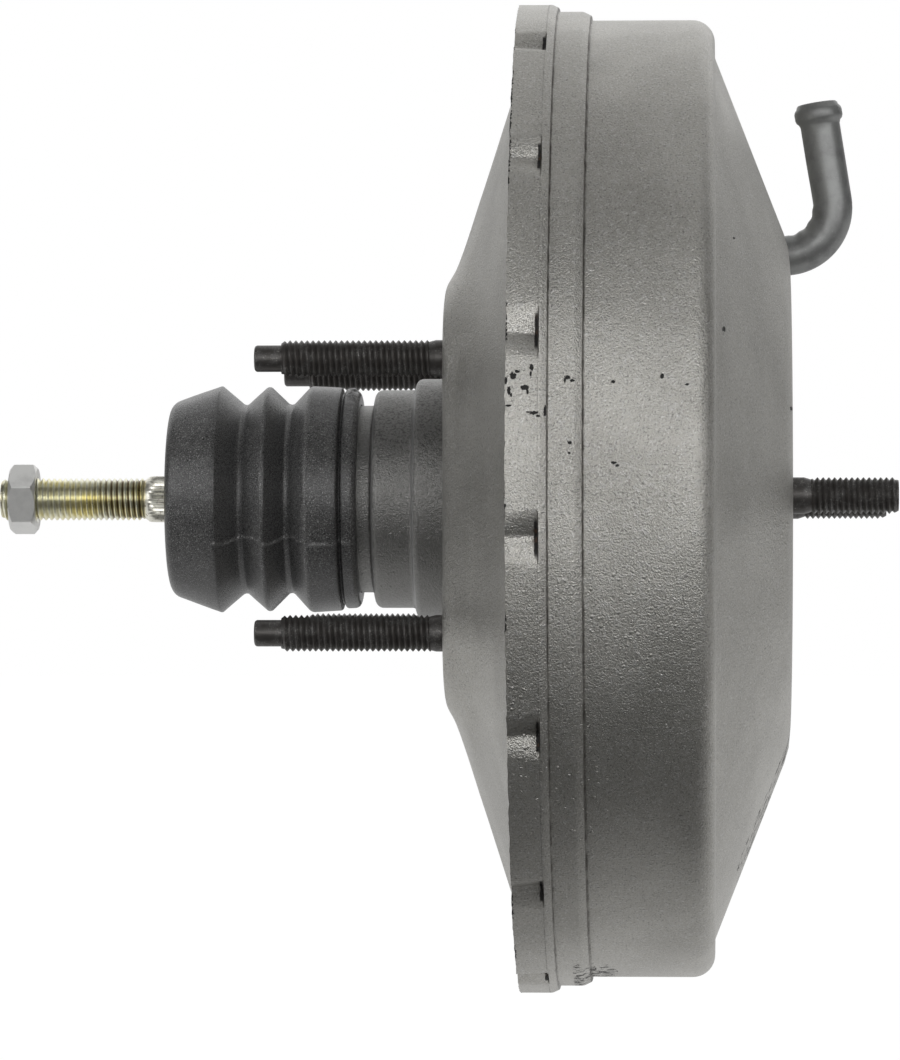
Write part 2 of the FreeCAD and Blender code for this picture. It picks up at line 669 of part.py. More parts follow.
def valve_body():
    """Moulded valve body: hub, boss, tube, seats, passages, key slot and diaphragm groove."""
    outline = [
        (BODY_REAR, REAR_BORE_R),
        (SEAT_WEB_X, REAR_BORE_R),
        (SEAT_WEB_X, SEAT_R),
        (SEAT_WEB_X - SEAT_HEIGHT, SEAT_R, EDGE_FINE),
        (SEAT_WEB_X - SEAT_HEIGHT, SEAT_R - SEAT_RIM, EDGE_FINE),
        (SEAT_WEB_X, SEAT_R - SEAT_RIM),
        (SEAT_WEB_X, COUNTER_R),
        (SEAT_WEB_X + SEAT_WEB, COUNTER_R),
        (SEAT_WEB_X + SEAT_WEB, PLUNGER_R + SLIDE_CLEAR),
        (DISC_REAR, PLUNGER_R + SLIDE_CLEAR),
        (DISC_REAR, DISC_R),
        (BOSS_FRONT, DISC_R),
        (BOSS_FRONT, BOSS_R, EDGE_ROUND),
        (HUB_FRONT, BOSS_R, RIM_BEND),
        (HUB_FRONT, HUB_R, EDGE_ROUND),
        (HUB_X, HUB_R, EDGE_ROUND),
        (HUB_X, BODY_R),
        (PLATE_REAR_X, BODY_R),
        (PLATE_REAR_X, BEAD_SLOT_R),
        (PLATE_REAR_X - 2 * WEB_THICK, BEAD_SLOT_R),
        (PLATE_REAR_X - 2 * WEB_THICK, BODY_R),
        (BODY_REAR, BODY_R, EDGE_SMALL),
    ]
    body = turned(outline)
    slot = Part.makeBox(
        KEY_THICK + 2 * PIECE_CLEAR,
        KEY_WIDTH + 4 * PIECE_CLEAR,
        BODY_R * 3,
        Vector(KEY_X - PIECE_CLEAR, -KEY_WIDTH / 2 - 2 * PIECE_CLEAR, -BODY_R * 1.5),
    )
    cuts = [slot]
    for index in range(PASSAGES):
        for base in (0, 180):
            bearing = math.radians(base - 24 + 24 * index)
            y, z = PASSAGE_RADIUS * math.cos(bearing), PASSAGE_RADIUS * math.sin(bearing)
            cuts.append(rod(SEAT_WEB_X - 1, HUB_FRONT + 1, PASSAGE_R, y, z))
    return body.cut(cuts)


def diaphragm_plate():
    """Pressed steel plate in front of the diaphragm, bent forward at its rim."""
    start = WEB_FLAT_R - inset(WEB_THICK, REAR_CONE_RATIO)
    rim_x = PLATE_REAR_X + (PLATE_R - start) / REAR_CONE_RATIO
    path = [
        (rim_x + PLATE_RIM, PLATE_R),
        (rim_x, PLATE_R, PLATE_BEND),
        (PLATE_REAR_X, start, WEB_BEND),
        (PLATE_REAR_X, BODY_R + PIECE_CLEAR),
    ]
    return sheet_turned(path, -PLATE_THICK)


def diaphragm():
    """Moulded diaphragm: outer bead, rolling lobe, web and the inner bead in the valve body."""
    leg_outer = BEAD_BAND_R - SHOULDER_STEP - FRONT_SHEET - BODY_CLEAR
    leg_inner = PLATE_R + BODY_CLEAR
    bead_front = BEAD_X + BEAD_THICK
    fold = (leg_outer - leg_inner) / 2 - WEB_THICK
    lobe_end = LOBE_X + fold + WEB_THICK
    back = WEB_X + (leg_inner + WEB_THICK - WEB_FLAT_R) / REAR_CONE_RATIO
    inside = WEB_FLAT_R - inset(WEB_THICK, REAR_CONE_RATIO)
    front = PLATE_REAR_X + (leg_inner - inside) / REAR_CONE_RATIO
    slot_rear = PLATE_REAR_X - 2 * WEB_THICK
    outline = [
        (BEAD_X, BEAD_INNER_R, EDGE_ROUND),
        (BEAD_X, BEAD_OUTER_R, EDGE_ROUND),
        (bead_front, BEAD_OUTER_R, EDGE_ROUND),
        (bead_front, leg_outer),
        (lobe_end, leg_outer, fold + WEB_THICK - 0.05),
        (lobe_end, leg_inner, fold + WEB_THICK - 0.05),
        (front, leg_inner, PLATE_BEND),
        (PLATE_REAR_X, inside, WEB_BEND),
        (PLATE_REAR_X, BEAD_SLOT_R + PIECE_CLEAR, EDGE_FINE),
        (slot_rear, BEAD_SLOT_R + PIECE_CLEAR, EDGE_FINE),
        (slot_rear, BODY_R + INNER_BEAD, EDGE_ROUND),
        (WEB_X, BODY_R + INNER_BEAD, EDGE_ROUND),
        (WEB_X, WEB_FLAT_R, WEB_BEND + WEB_THICK),
        (back, leg_inner + WEB_THICK, LEG_BEND),
        (LOBE_X + fold, leg_inner + WEB_THICK, fold - 0.05),
        (LOBE_X + fold, leg_outer - WEB_THICK, fold - 0.05),
        (bead_front, leg_outer - WEB_THICK, EDGE_FINE),
        (bead_front, BEAD_INNER_R, EDGE_ROUND),
    ]
    return turned(outline)


def reaction_disc():
    """Rubber disc between the plunger and the push rod."""
    outer = DISC_R - PIECE_CLEAR
    rear, front = (DISC_REAR, outer, EDGE_SMALL), (DISC_FRONT, outer, EDGE_SMALL)
    return turned([(DISC_REAR, 0), rear, front, (DISC_FRONT, 0)])


def push_rod():
    """Push rod with its head in the valve body's pocket."""
    return turned(
        [
            (DISC_FRONT, 0),
            (DISC_FRONT, DISC_R - SLIDE_CLEAR, EDGE_FINE),
            (HEAD_FRONT, DISC_R - SLIDE_CLEAR, EDGE_SMALL),
            (HEAD_FRONT, PUSH_R, RIM_BEND),
            (PUSH_END, PUSH_R, EDGE_SMALL),
            (PUSH_END, 0),
        ]
    )


def push_rod_bolt():
    """Adjusting bolt with a domed head at the push rod's tip."""
    head_r = PUSH_BOLT_R * 1.25
    return turned(
        [
            (PUSH_END, 0),
            (PUSH_END, head_r, EDGE_FINE),
            (PUSH_END + PUSH_BOLT * 0.6, head_r, EDGE_FINE),
            (PUSH_END + PUSH_BOLT, PUSH_BOLT_R * 0.6, EDGE_ROUND),
            (PUSH_END + PUSH_BOLT, 0),
        ]
    )


def push_rod_retainer():
    """Stamped cap on the boss that keeps the push rod in its pocket."""
    outer = BOSS_R + PIECE_CLEAR + CAP_SHEET
    front = BOSS_FRONT + CAP_SHEET
    return turned(
        [
            (HUB_FRONT + CAP_GAP, outer - CAP_SHEET),
            (BOSS_FRONT, outer - CAP_SHEET),
            (BOSS_FRONT, PUSH_R + CAP_HOLE),
            (front, PUSH_R + CAP_HOLE),
            (front, outer, CAP_SHEET),
            (HUB_FRONT + CAP_GAP, outer),
        ]
    )


def stop_key():
    """Flat key through the valve body that limits the plunger's travel."""
    key = Part.makeBox(KEY_THICK, KEY_WIDTH, 2 * KEY_R, Vector(KEY_X, -KEY_WIDTH / 2, -KEY_R))
    half = GROOVE_R + PIECE_CLEAR
    before = KEY_X - KEY_THICK
    slot = Part.makeBox(3 * KEY_THICK, 2 * half, KEY_R + 1, Vector(before, -half, 0))
    return key.cut([slot, rod(before, before + 3 * KEY_THICK, half)])


def valve_plunger():
    """Plunger with its valve seat, ball socket, key groove and nose."""
    groove_rear = KEY_X - VALVE_TRAVEL - BODY_CLEAR
    groove_front = KEY_FRONT + PIECE_CLEAR * 2
    nose = DISC_REAR - VALVE_TRAVEL - PIECE_CLEAR * 2
    mouth = 1.4 * SOCKET_LIP_R
    socket_r = BALL_R + SLIDE_CLEAR
    lip_back = math.sqrt(socket_r ** 2 - SOCKET_LIP_R ** 2)
    body = turned(
        [
            (PLUNGER_REAR, 0),
            (PLUNGER_REAR, PLUNGER_FLANGE_R, EDGE_FINE),
            (PLUNGER_REAR + PLUNGER_FLANGE, PLUNGER_FLANGE_R, EDGE_FINE),
            (PLUNGER_REAR + PLUNGER_FLANGE, PLUNGER_R),
            (groove_rear, PLUNGER_R),
            (groove_rear, GROOVE_R),
            (groove_front, GROOVE_R),
            (groove_front, PLUNGER_R),
            (nose, PLUNGER_R, EDGE_FINE),
            (nose, 0),
        ]
    )
    opening = turned(
        [
            (PLUNGER_REAR - 1, 0),
            (PLUNGER_REAR - 1, mouth),
            (PLUNGER_REAR + 1, mouth),
            (BALL_X - lip_back, SOCKET_LIP_R),
            (BALL_X, SOCKET_LIP_R),
            (BALL_X, 0),
        ]
    )
    ball = Part.makeSphere(socket_r, Vector(BALL_X, 0, 0))
    return body.cut([ball, opening])


def poppet():
    """Moulded rubber poppet that closes on both valve seats."""
    inner = POPPET_R - POPPET_TUBE_WALL
    return turned(
        [
            (POPPET_FACE, POPPET_HOLE_R, EDGE_FINE),
            (POPPET_FACE, POPPET_R, EDGE_SMALL),
            (POPPET_REAR, POPPET_R),
            (POPPET_REAR, inner, EDGE_FINE),
            (POPPET_FACE - POPPET_DISC, inner, EDGE_SMALL),
            (POPPET_FACE - POPPET_DISC, POPPET_HOLE_R, EDGE_FINE),
        ]
    )


def poppet_retainer():
    """Pressed cup that holds the poppet's tail and carries both small springs."""
    outer = REAR_BORE_R - SLIDE_CLEAR
    shelf = ROD_SPRING_R - ROD_WIRE
    return turned(
        [
            (POPPET_REAR, outer),
            (POPPET_REAR, outer - CAP_SHEET),
            (RETAINER_X, outer - CAP_SHEET),
            (RETAINER_X, shelf),
            (RETAINER_X - CAP_SHEET, shelf),
            (RETAINER_X - CAP_SHEET, outer - CAP_SHEET),
            (RETAINER_REAR, outer - CAP_SHEET),
            (RETAINER_REAR, outer),
        ]
    )


def coil(x_low, x_high, radius, wire, turns):
    """Open coil of round wire whose ends just clear its two seats."""
    low = x_low + wire / 2 + PIECE_CLEAR
    high = x_high - wire / 2 - PIECE_CLEAR
    height = high - low
    helix = Part.makeHelix(height / turns, height, radius)
    step = math.tau / WIRE_FLATS
    corner = wire / 2 * math.sqrt(step / math.sin(step))
    corners = []
    for index in range(WIRE_FLATS + 1):
        across, along = math.cos(index * step), math.sin(index * step)
        corners.append(Vector(radius + corner * across, 0, corner * along))
    spring = helix.makePipeShell([Part.makePolygon(corners)], True, True)
    spring.rotate(Vector(0, 0, 0), Vector(0, 1, 0), 90)
    spring.translate(Vector(low, 0, 0))
    return spring


def return_spring():
    """Coil that pushes the power piston back to the pedal side."""
    return coil(HUB_FRONT, FRONT_PLATE_X, RETURN_R, RETURN_WIRE, RETURN_TURNS)


def poppet_spring():
    """Small coil that presses the poppet on its seats."""
    return coil(
        RETAINER_X, POPPET_FACE - POPPET_DISC, POPPET_SPRING_R, POPPET_WIRE, SMALL_TURNS
    )


def rod_spring():
    """Coil that returns the input rod in the valve body."""
    return coil(
        ROD_COLLAR_X + ROD_COLLAR, RETAINER_X - CAP_SHEET, ROD_SPRING_R, ROD_WIRE, SMALL_TURNS
    )


def input_rod():
    """Input rod: ball, neck, spring collar, shank and thread."""
    ball = Part.makeSphere(BALL_R, Vector(BALL_X, 0, 0))
    bar = turned(
        [
            (BALL_X, 0),
            (BALL_X, ROD_NECK_R),
            (ROD_COLLAR_X + ROD_COLLAR, ROD_NECK_R, EDGE_ROUND),
            (ROD_COLLAR_X + ROD_COLLAR, ROD_COLLAR_R, EDGE_FINE),
            (ROD_COLLAR_X, ROD_COLLAR_R, EDGE_FINE),
            (ROD_COLLAR_X, ROD_SHANK_R, EDGE_ROUND),
            (ROD_THREAD_X, ROD_SHANK_R, EDGE_FINE),
            (ROD_THREAD_X, ROD_THREAD_R),
            (ROD_TIP_X + ROD_CHAMFER, ROD_THREAD_R),
            (ROD_TIP_X, ROD_THREAD_R - ROD_CHAMFER),
            (ROD_TIP_X, 0),
        ]
    )
    return bar.fuse(ball)


def lock_nut():
    """Hexagon lock nut with both faces chamfered."""
    corner_r = NUT_FLATS / math.sqrt(3)
    points = []
    for index in range(7):
        bearing = math.radians(NUT_TURN_DEG + 60 * index)
        points.append(Vector(NUT_X, corner_r * math.cos(bearing), corner_r * math.sin(bearing)))
    prism = Part.Face(Part.makePolygon(points)).extrude(Vector(NUT_THICK, 0, 0))
    drop = (corner_r - NUT_FLATS / 2) * 1.3
    crown = turned(
        [
            (NUT_X, 0),
            (NUT_X, corner_r - drop),
            (NUT_X + drop * 0.55, corner_r + 0.01),
            (NUT_X + NUT_THICK - drop * 0.55, corner_r + 0.01),
            (NUT_X + NUT_THICK, corner_r - drop),
            (NUT_X + NUT_THICK, 0),
        ]
    )
    bore = rod(NUT_X - 1, NUT_X + NUT_THICK + 1, ROD_THREAD_R + SLIDE_CLEAR)
    return prism.common(crown).cut(bore)


def boot():
    """Rubber bellows from the neck to the input rod."""
    skin = [
        (BOOT_END_X, ROD_SHANK_R + BODY_CLEAR),
        (BOOT_END_X, BOOT_END_R, BOOT_BEND),
        (BOOT_PEAK_1, BOOT_PEAK_R, EDGE_SMALL),
        (BOOT_VALLEY_1, BOOT_VALLEY_R, EDGE_ROUND),
        (BOOT_PEAK_2, BOOT_PEAK_R, EDGE_ROUND),
        (BOOT_VALLEY_2, BOOT_VALLEY_R, EDGE_ROUND),
        (BOOT_SHOULDER, BOOT_PEAK_R, BOOT_BEND),
        (BOOT_GROOVE_X - BOOT_GROOVE, BOOT_PEAK_R - BOOT_TAPER),
    ]
    inner = offset_path(skin, BOOT_WALL)
    grip = NECK_C_R + PIECE_CLEAR
    inside = BOOT_PEAK_R - BOOT_TAPER - BOOT_WALL
    lining = inner[:-1] + [(BOOT_GROOVE_X - BOOT_GROOVE, inside, EDGE_SMALL)]
    lining += [(NECK_END - PIECE_CLEAR, grip)]
    lip = [
        (BOOT_GROOVE_X, BOOT_LIP_R - BOOT_GROOVE),
        (BOOT_GROOVE_X + BOOT_GROOVE / 4, BOOT_LIP_R, EDGE_SMALL),
        (BOOT_LIP_X, BOOT_LIP_R, BOOT_LIP_BEND),
        (BOOT_LIP_X, grip),
    ]
    return turned(skin + lip + list(reversed(lining)))


def air_filter():
    """Foam ring that cleans the air drawn in behind the poppet."""
    outer = REAR_BORE_R - SLIDE_CLEAR
    return ring(BODY_REAR + CAP_SHEET, FILTER_FRONT, ROD_SHANK_R + SWING_ROOM, outer)


def silencer():
    """Felt ring in front of the filter."""
    rear = FILTER_FRONT + PIECE_CLEAR
    outer = REAR_BORE_R - SLIDE_CLEAR
    return ring(rear, rear + SILENCER_THICK, ROD_SHANK_R + SWING_ROOM, outer)


def filter_retainer():
    """Thin ring in the mouth of the valve body."""
    return ring(BODY_REAR, BODY_REAR + CAP_SHEET, REAR_BORE_R - 3.0, REAR_BORE_R - SLIDE_CLEAR)


def neck_bush():
    """Guide bush of the valve body in the neck."""
    rear = NECK_BC + REAR_SHEET + PIECE_CLEAR
    front = NECK_AB + REAR_SHEET - PIECE_CLEAR
    return ring(rear, front, BODY_R + SLIDE_CLEAR, NECK_B_BORE - PIECE_CLEAR, 0.3)


def rear_seal():
    """Lip seal between the neck and the valve body."""
    rear = NECK_AB + REAR_SHEET + PIECE_CLEAR
    front = SEAL_RETAINER_X - PIECE_CLEAR
    outer = NECK_A_BORE - PIECE_CLEAR
    inner = BODY_R + SLIDE_CLEAR
    return turned(
        [
            (rear, inner, EDGE_FINE),
            (rear, outer, EDGE_SMALL),
            (front, outer, EDGE_SMALL),
            (front, outer - REAR_SEAL_WALL, EDGE_FINE),
            (rear + REAR_SEAL_BASE, outer - REAR_SEAL_WALL, EDGE_SMALL),
            (rear + REAR_SEAL_BASE, inner + REAR_SEAL_LIP, EDGE_SMALL),
            (front - REAR_SEAL_BACK, inner + REAR_SEAL_LIP / 2, EDGE_FINE / 2),
            (front - REAR_SEAL_BACK, inner, EDGE_FINE / 2),
        ]
    )


def seal_retainer():
    """Pressed ring in front of the seal; the stop key rests against it."""
    front = SEAL_RETAINER_X + CAP_SHEET
    return ring(SEAL_RETAINER_X, front, BODY_R + BODY_CLEAR, NECK_A_BORE - SLIDE_CLEAR)


def front_seal():
    """Rubber seal behind the pilot cup, round the push rod."""
    front = PILOT_BACK_X - PIECE_CLEAR
    rear = front - FRONT_SEAL
    inner = PUSH_R + PIECE_CLEAR
    back = front - FRONT_SEAL_RIM
    outer = PILOT_HOLE_R + FRONT_SEAL_COLLAR
    return turned(
        [
            (rear, inner, EDGE_FINE),
            (front, inner, EDGE_FINE),
            (front, outer, EDGE_FINE),
            (back, outer, EDGE_FINE),
            (back, inner + FRONT_SEAL_COLLAR, EDGE_ROUND),
            (rear, inner + FRONT_SEAL_BORE_WALL, EDGE_FINE),
        ]
    )


def front_seal_retainer():
    """Pressed cup that holds the front seal against the pilot cup."""
    outer = PILOT_OUTER_R + PIECE_CLEAR + CAP_SHEET
    pocket = PILOT_HOLE_R + FRONT_SEAL_COLLAR + PIECE_CLEAR
    seat_x = PILOT_BACK_X - PIECE_CLEAR
    lip_x = seat_x - FRONT_SEAL_RIM - PIECE_CLEAR
    end_x = PILOT_BACK_X + SEAL_CUP_LAP
    return turned(
        [
            (lip_x, PUSH_R + SEAL_CUP_HOLE),
            (lip_x, pocket),
            (seat_x, pocket),
            (seat_x, outer - CAP_SHEET),
            (end_x, outer - CAP_SHEET),
            (end_x, outer),
            (lip_x - CAP_SHEET, outer, CAP_SHEET),
            (lip_x - CAP_SHEET, PUSH_R + SEAL_CUP_HOLE),
        ]
    )


PIECES = [
    rear_shell, front_shell, rear_plate, front_plate, firewall_studs, cylinder_studs,
    vacuum_nipple, neck_bush, rear_seal, seal_retainer, front_seal, front_seal_retainer,
    diaphragm, diaphragm_plate, valve_body, reaction_disc, push_rod, push_rod_bolt,
    push_rod_retainer, stop_key, valve_plunger, poppet, poppet_retainer, poppet_spring,
    rod_spring, return_spring, air_filter, silencer, filter_retainer, input_rod, lock_nut, boot,
]


def main():
    """Build each piece and write it to its own STEP file."""
    os.makedirs("parts", exist_ok=True)
    for build in PIECES:
        shape = build()
        name = build.__name__
        shape.exportStep("parts/%s.step" % name)
        print("%-20s %2d solid  %9.1f mm3  valid %s" % (
            name, len(shape.Solids), shape.Volume, shape.isValid()))


main()
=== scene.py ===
"""A vacuum brake booster dressed for its picture: pressed shells, studs, bellows boot and input rod.

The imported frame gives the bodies, joints and nodes. Sizes below are in millimetres, in the frame's
own axes: X runs along the booster towards the master cylinder, Z is up and the camera looks along +Y.
"""
from __future__ import annotations

import json
import logging
import math
from dataclasses import dataclass, field
from enum import Enum
from typing import Any, Callable, ClassVar, Iterable, Sequence

import bmesh
import bpy
from mathutils import Matrix, Vector, noise

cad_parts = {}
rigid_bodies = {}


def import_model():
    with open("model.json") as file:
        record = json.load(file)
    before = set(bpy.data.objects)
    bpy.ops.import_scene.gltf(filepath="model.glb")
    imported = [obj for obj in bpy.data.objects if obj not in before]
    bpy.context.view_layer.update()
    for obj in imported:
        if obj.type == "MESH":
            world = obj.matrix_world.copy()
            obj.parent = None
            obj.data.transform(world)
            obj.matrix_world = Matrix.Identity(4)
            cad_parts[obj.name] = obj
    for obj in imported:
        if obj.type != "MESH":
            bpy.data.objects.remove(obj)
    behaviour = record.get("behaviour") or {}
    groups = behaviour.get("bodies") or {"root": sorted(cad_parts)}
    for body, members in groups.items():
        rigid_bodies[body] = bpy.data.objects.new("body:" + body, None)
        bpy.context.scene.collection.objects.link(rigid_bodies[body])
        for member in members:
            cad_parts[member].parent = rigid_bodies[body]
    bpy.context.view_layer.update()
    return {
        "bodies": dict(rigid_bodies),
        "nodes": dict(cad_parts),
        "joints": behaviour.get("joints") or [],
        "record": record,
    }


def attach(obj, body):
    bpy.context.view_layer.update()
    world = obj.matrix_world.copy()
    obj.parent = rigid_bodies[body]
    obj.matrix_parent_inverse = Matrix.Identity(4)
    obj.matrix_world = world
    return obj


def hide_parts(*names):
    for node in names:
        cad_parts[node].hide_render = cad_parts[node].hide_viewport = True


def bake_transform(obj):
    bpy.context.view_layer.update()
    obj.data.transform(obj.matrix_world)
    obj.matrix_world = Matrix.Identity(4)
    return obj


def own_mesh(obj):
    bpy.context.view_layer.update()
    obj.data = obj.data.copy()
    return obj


MM = 0.001
AXIS = Vector((1.0, 0.0, 0.0))
ORIGIN = Vector((0.0, 0.0, 0.0))
LOG = logging.getLogger("brake_booster")
Point = tuple[float, ...]
Place = tuple[float, float]
Mesh = bmesh.types.BMesh
Vert = bmesh.types.BMVert
Edge = bmesh.types.BMEdge
Socket = bpy.types.NodeSocket
Material = bpy.types.Material


class Body(Enum):
    """Rigid bodies of the booster that pieces ride on."""

    HOUSING = "housing"
    PISTON = "power_piston"
    PLUNGER = "valve_plunger"
    ROD = "input_rod"
    NUT = "lock_nut"


class Shade(Enum):
    """How a mesh's faces are smoothed, as the angle in degrees past which an edge stays sharp."""

    CREASED = 28.0
    PRESSED = 40.0


# Shader maths


def maths(operation: str, swapped: bool = False) -> Callable[..., Field]:
    """Makes a method of Field out of a Math node.

    Args:
        operation: The node's operation.
        swapped: Whether the other value comes first.
    """
    def method(value: Field, *others: Any) -> Field:
        """Returns the operation's result on a value and others."""
        values = (*others, value) if swapped else (value, *others)
        return value.nodes.value("ShaderNodeMath", {"operation": operation}, dict(enumerate(values)))

    return method


class Field:
    """One value of a shader, so that node maths is written as an expression."""

    __add__ = __radd__ = maths("ADD")
    __sub__ = maths("SUBTRACT")
    __rsub__ = maths("SUBTRACT", swapped=True)
    __mul__ = __rmul__ = maths("MULTIPLY")
    __truediv__ = maths("DIVIDE")
    above = maths("GREATER_THAN")
    largest = maths("MAXIMUM")
    smallest = maths("MINIMUM")
    size = maths("ABSOLUTE")
    root = maths("SQRT")

    def __init__(self, nodes: Nodes, socket: Socket) -> None:
        """Wraps a socket.

        Args:
            nodes: The tree that new nodes are added to.
            socket: The output socket that holds the value.
        """
        self.nodes = nodes
        self.socket = socket

    def rise(self, low: float, high: float) -> Field:
        """Returns a smooth step.

        Args:
            low: Where the step starts; it may be the larger of the two for a falling step.
            high: Where the step ends.

        Returns:
            0 up to low, 1 from high on, and a smooth rise between them.
        """
        if low > high:
            return 1.0 - self.rise(high, low)
        values = {"Value": self, "From Min": low, "From Max": high}
        return self.nodes.value("ShaderNodeMapRange", {"interpolation_type": "SMOOTHSTEP"}, values)


class Nodes:
    """Node tree of a material or a world, which makes all its nodes with one method."""

    def __init__(self, owner: Material | bpy.types.World) -> None:
        """Takes over the owner's tree and empties it.

        Args:
            owner: The material or world.
        """
        owner.use_nodes = True
        self.tree = owner.node_tree
        self.tree.nodes.clear()

    def node(self, kind: str, settings: dict[str, Any] | None = None,
             values: dict[Any, Any] | None = None) -> bpy.types.Node:
        """Adds a node.

        Args:
            kind: The node's type.
            settings: Attributes that are set before its sockets, such as a Math node's operation.
            values: Values or links by socket name or number.

        Returns:
            The new node.
        """
        made = self.tree.nodes.new(kind)
        for key, value in (settings or {}).items():
            setattr(made, key, value)
        for key, value in (values or {}).items():
            self.plug(made, key, value)
        return made

    def plug(self, made: bpy.types.Node, key: Any, value: Any) -> None:
        """Gives a node's input a value or a link."""
        if isinstance(value, Field):
            value = value.socket
        if isinstance(value, Socket):
            self.tree.links.new(value, made.inputs[key])
        else:
            made.inputs[key].default_value = value

    def value(self, kind: str, settings: dict[str, Any], values: dict[Any, Any],
              output: int | str = 0) -> Field:
        """Adds a node and returns one of its outputs as a value."""
        return Field(self, self.node(kind, settings, values).outputs[output])

    def seen_white(self, mirrored: Field) -> Field:
        """Returns 1 for rays that see the picture's white, and a share of it for mirrored ones."""
        rays = self.node("ShaderNodeLightPath").outputs
        names = ("Is Camera Ray", "Is Transmission Ray", "Is Glossy Ray")
        camera, clear, glossy = (Field(self, rays[name]) for name in names)
        return camera.largest(clear).largest(glossy * mirrored)


class Shader(Nodes):
    """Node tree of one material, with its Principled shader and the point being shaded."""

    def __init__(self, name: str) -> None:
        """Makes a material.

        Args:
            name: The material's name.
        """
        self.material = bpy.data.materials.new(name)
        super().__init__(self.material)
        self.output = self.node("ShaderNodeOutputMaterial")
        self.surface = self.node("ShaderNodeBsdfPrincipled")
        self.plug(self.output, "Surface", self.surface.outputs[0])
        place = self.node("ShaderNodeTexCoord").outputs["Object"]
        scaled = self.node("ShaderNodeVectorMath", {"operation": "SCALE"}, {0: place, "Scale": 1 / MM})
        self.point = scaled.outputs[0]
        parts = self.node("ShaderNodeSeparateXYZ", {}, {0: self.point})
        self.x, self.y, self.z = (Field(self, socket) for socket in parts.outputs)
        self.radius = (self.y * self.y + self.z * self.z).root()

    def grain(self, per_mm: float, detail: float = 2.0, stretch: Point = (1.0, 1.0, 1.0),
              roughness: float = 0.5) -> Field:
        """Returns noise between 0 and 1.

        Args:
            per_mm: Number of features a millimetre.
            detail: Number of finer octaves.
            stretch: Extra scale along each axis.
            roughness: Strength of the finer octaves.
        """
        placed = self.node("ShaderNodeMapping", {}, {0: self.point, "Scale": stretch}).outputs[0]
        values = {"Vector": placed, "Scale": per_mm, "Detail": detail, "Roughness": roughness}
        return self.value("ShaderNodeTexNoise", {}, values, "Fac")

    def spots(self, per_mm: float) -> Field:
        """Returns the distance to the nearest point of a scattered field of points."""
        values = {"Vector": self.point, "Scale": per_mm, "Randomness": 1.0}
        return self.value("ShaderNodeTexVoronoi", {"feature": "F1"}, values, "Distance")

    def layered(self, base: Any, *layers: tuple[Any, Any]) -> Socket:
        """Returns a colour with others laid over it in turn.

        Args:
            base: The lowest colour.
            layers: How much each layer covers, from 0 to 1, and its colour.
        """
        for cover, paint in layers:
            values = {0: cover, 6: colour(base), 7: colour(paint)}
            base = self.node("ShaderNodeMix", {"data_type": "RGBA"}, values).outputs[2]
        return base

    def relief(self, height: Field, strength: float, depth: float, below: Socket | None = None) -> Socket:
        """Returns a bumped normal.

        Args:
            height: Height field between 0 and 1.
            strength: Share of the effect, from 0 to 1.
            depth: Height of the relief in millimetres.
            below: A normal that this relief lies on.
        """
        values = {"Height": height, "Strength": strength, "Distance": depth * MM}
        if below is not None:
            values["Normal"] = below
        return self.node("ShaderNodeBump", {}, values).outputs[0]

    def wear(self, **inputs: Any) -> Material:
        """Sets inputs of the Principled shader, with spaces written as underscores.

        Returns:
            The finished material.
        """
        for key, value in inputs.items():
            self.plug(self.surface, key.replace("_", " "), value)
        return self.material


def colour(value: Any) -> Any:
    """Returns a grey number or three parts as a colour with alpha; a socket passes as it is."""
    if isinstance(value, (int, float)):
        return (value, value, value, 1.0)
    if isinstance(value, tuple) and len(value) == 3:
        return value + (1.0,)
    return value


def darker(tone: Point, share: float) -> Point:
    """Returns a share of a colour."""
    return tuple(part * share for part in tone)


# Finishes


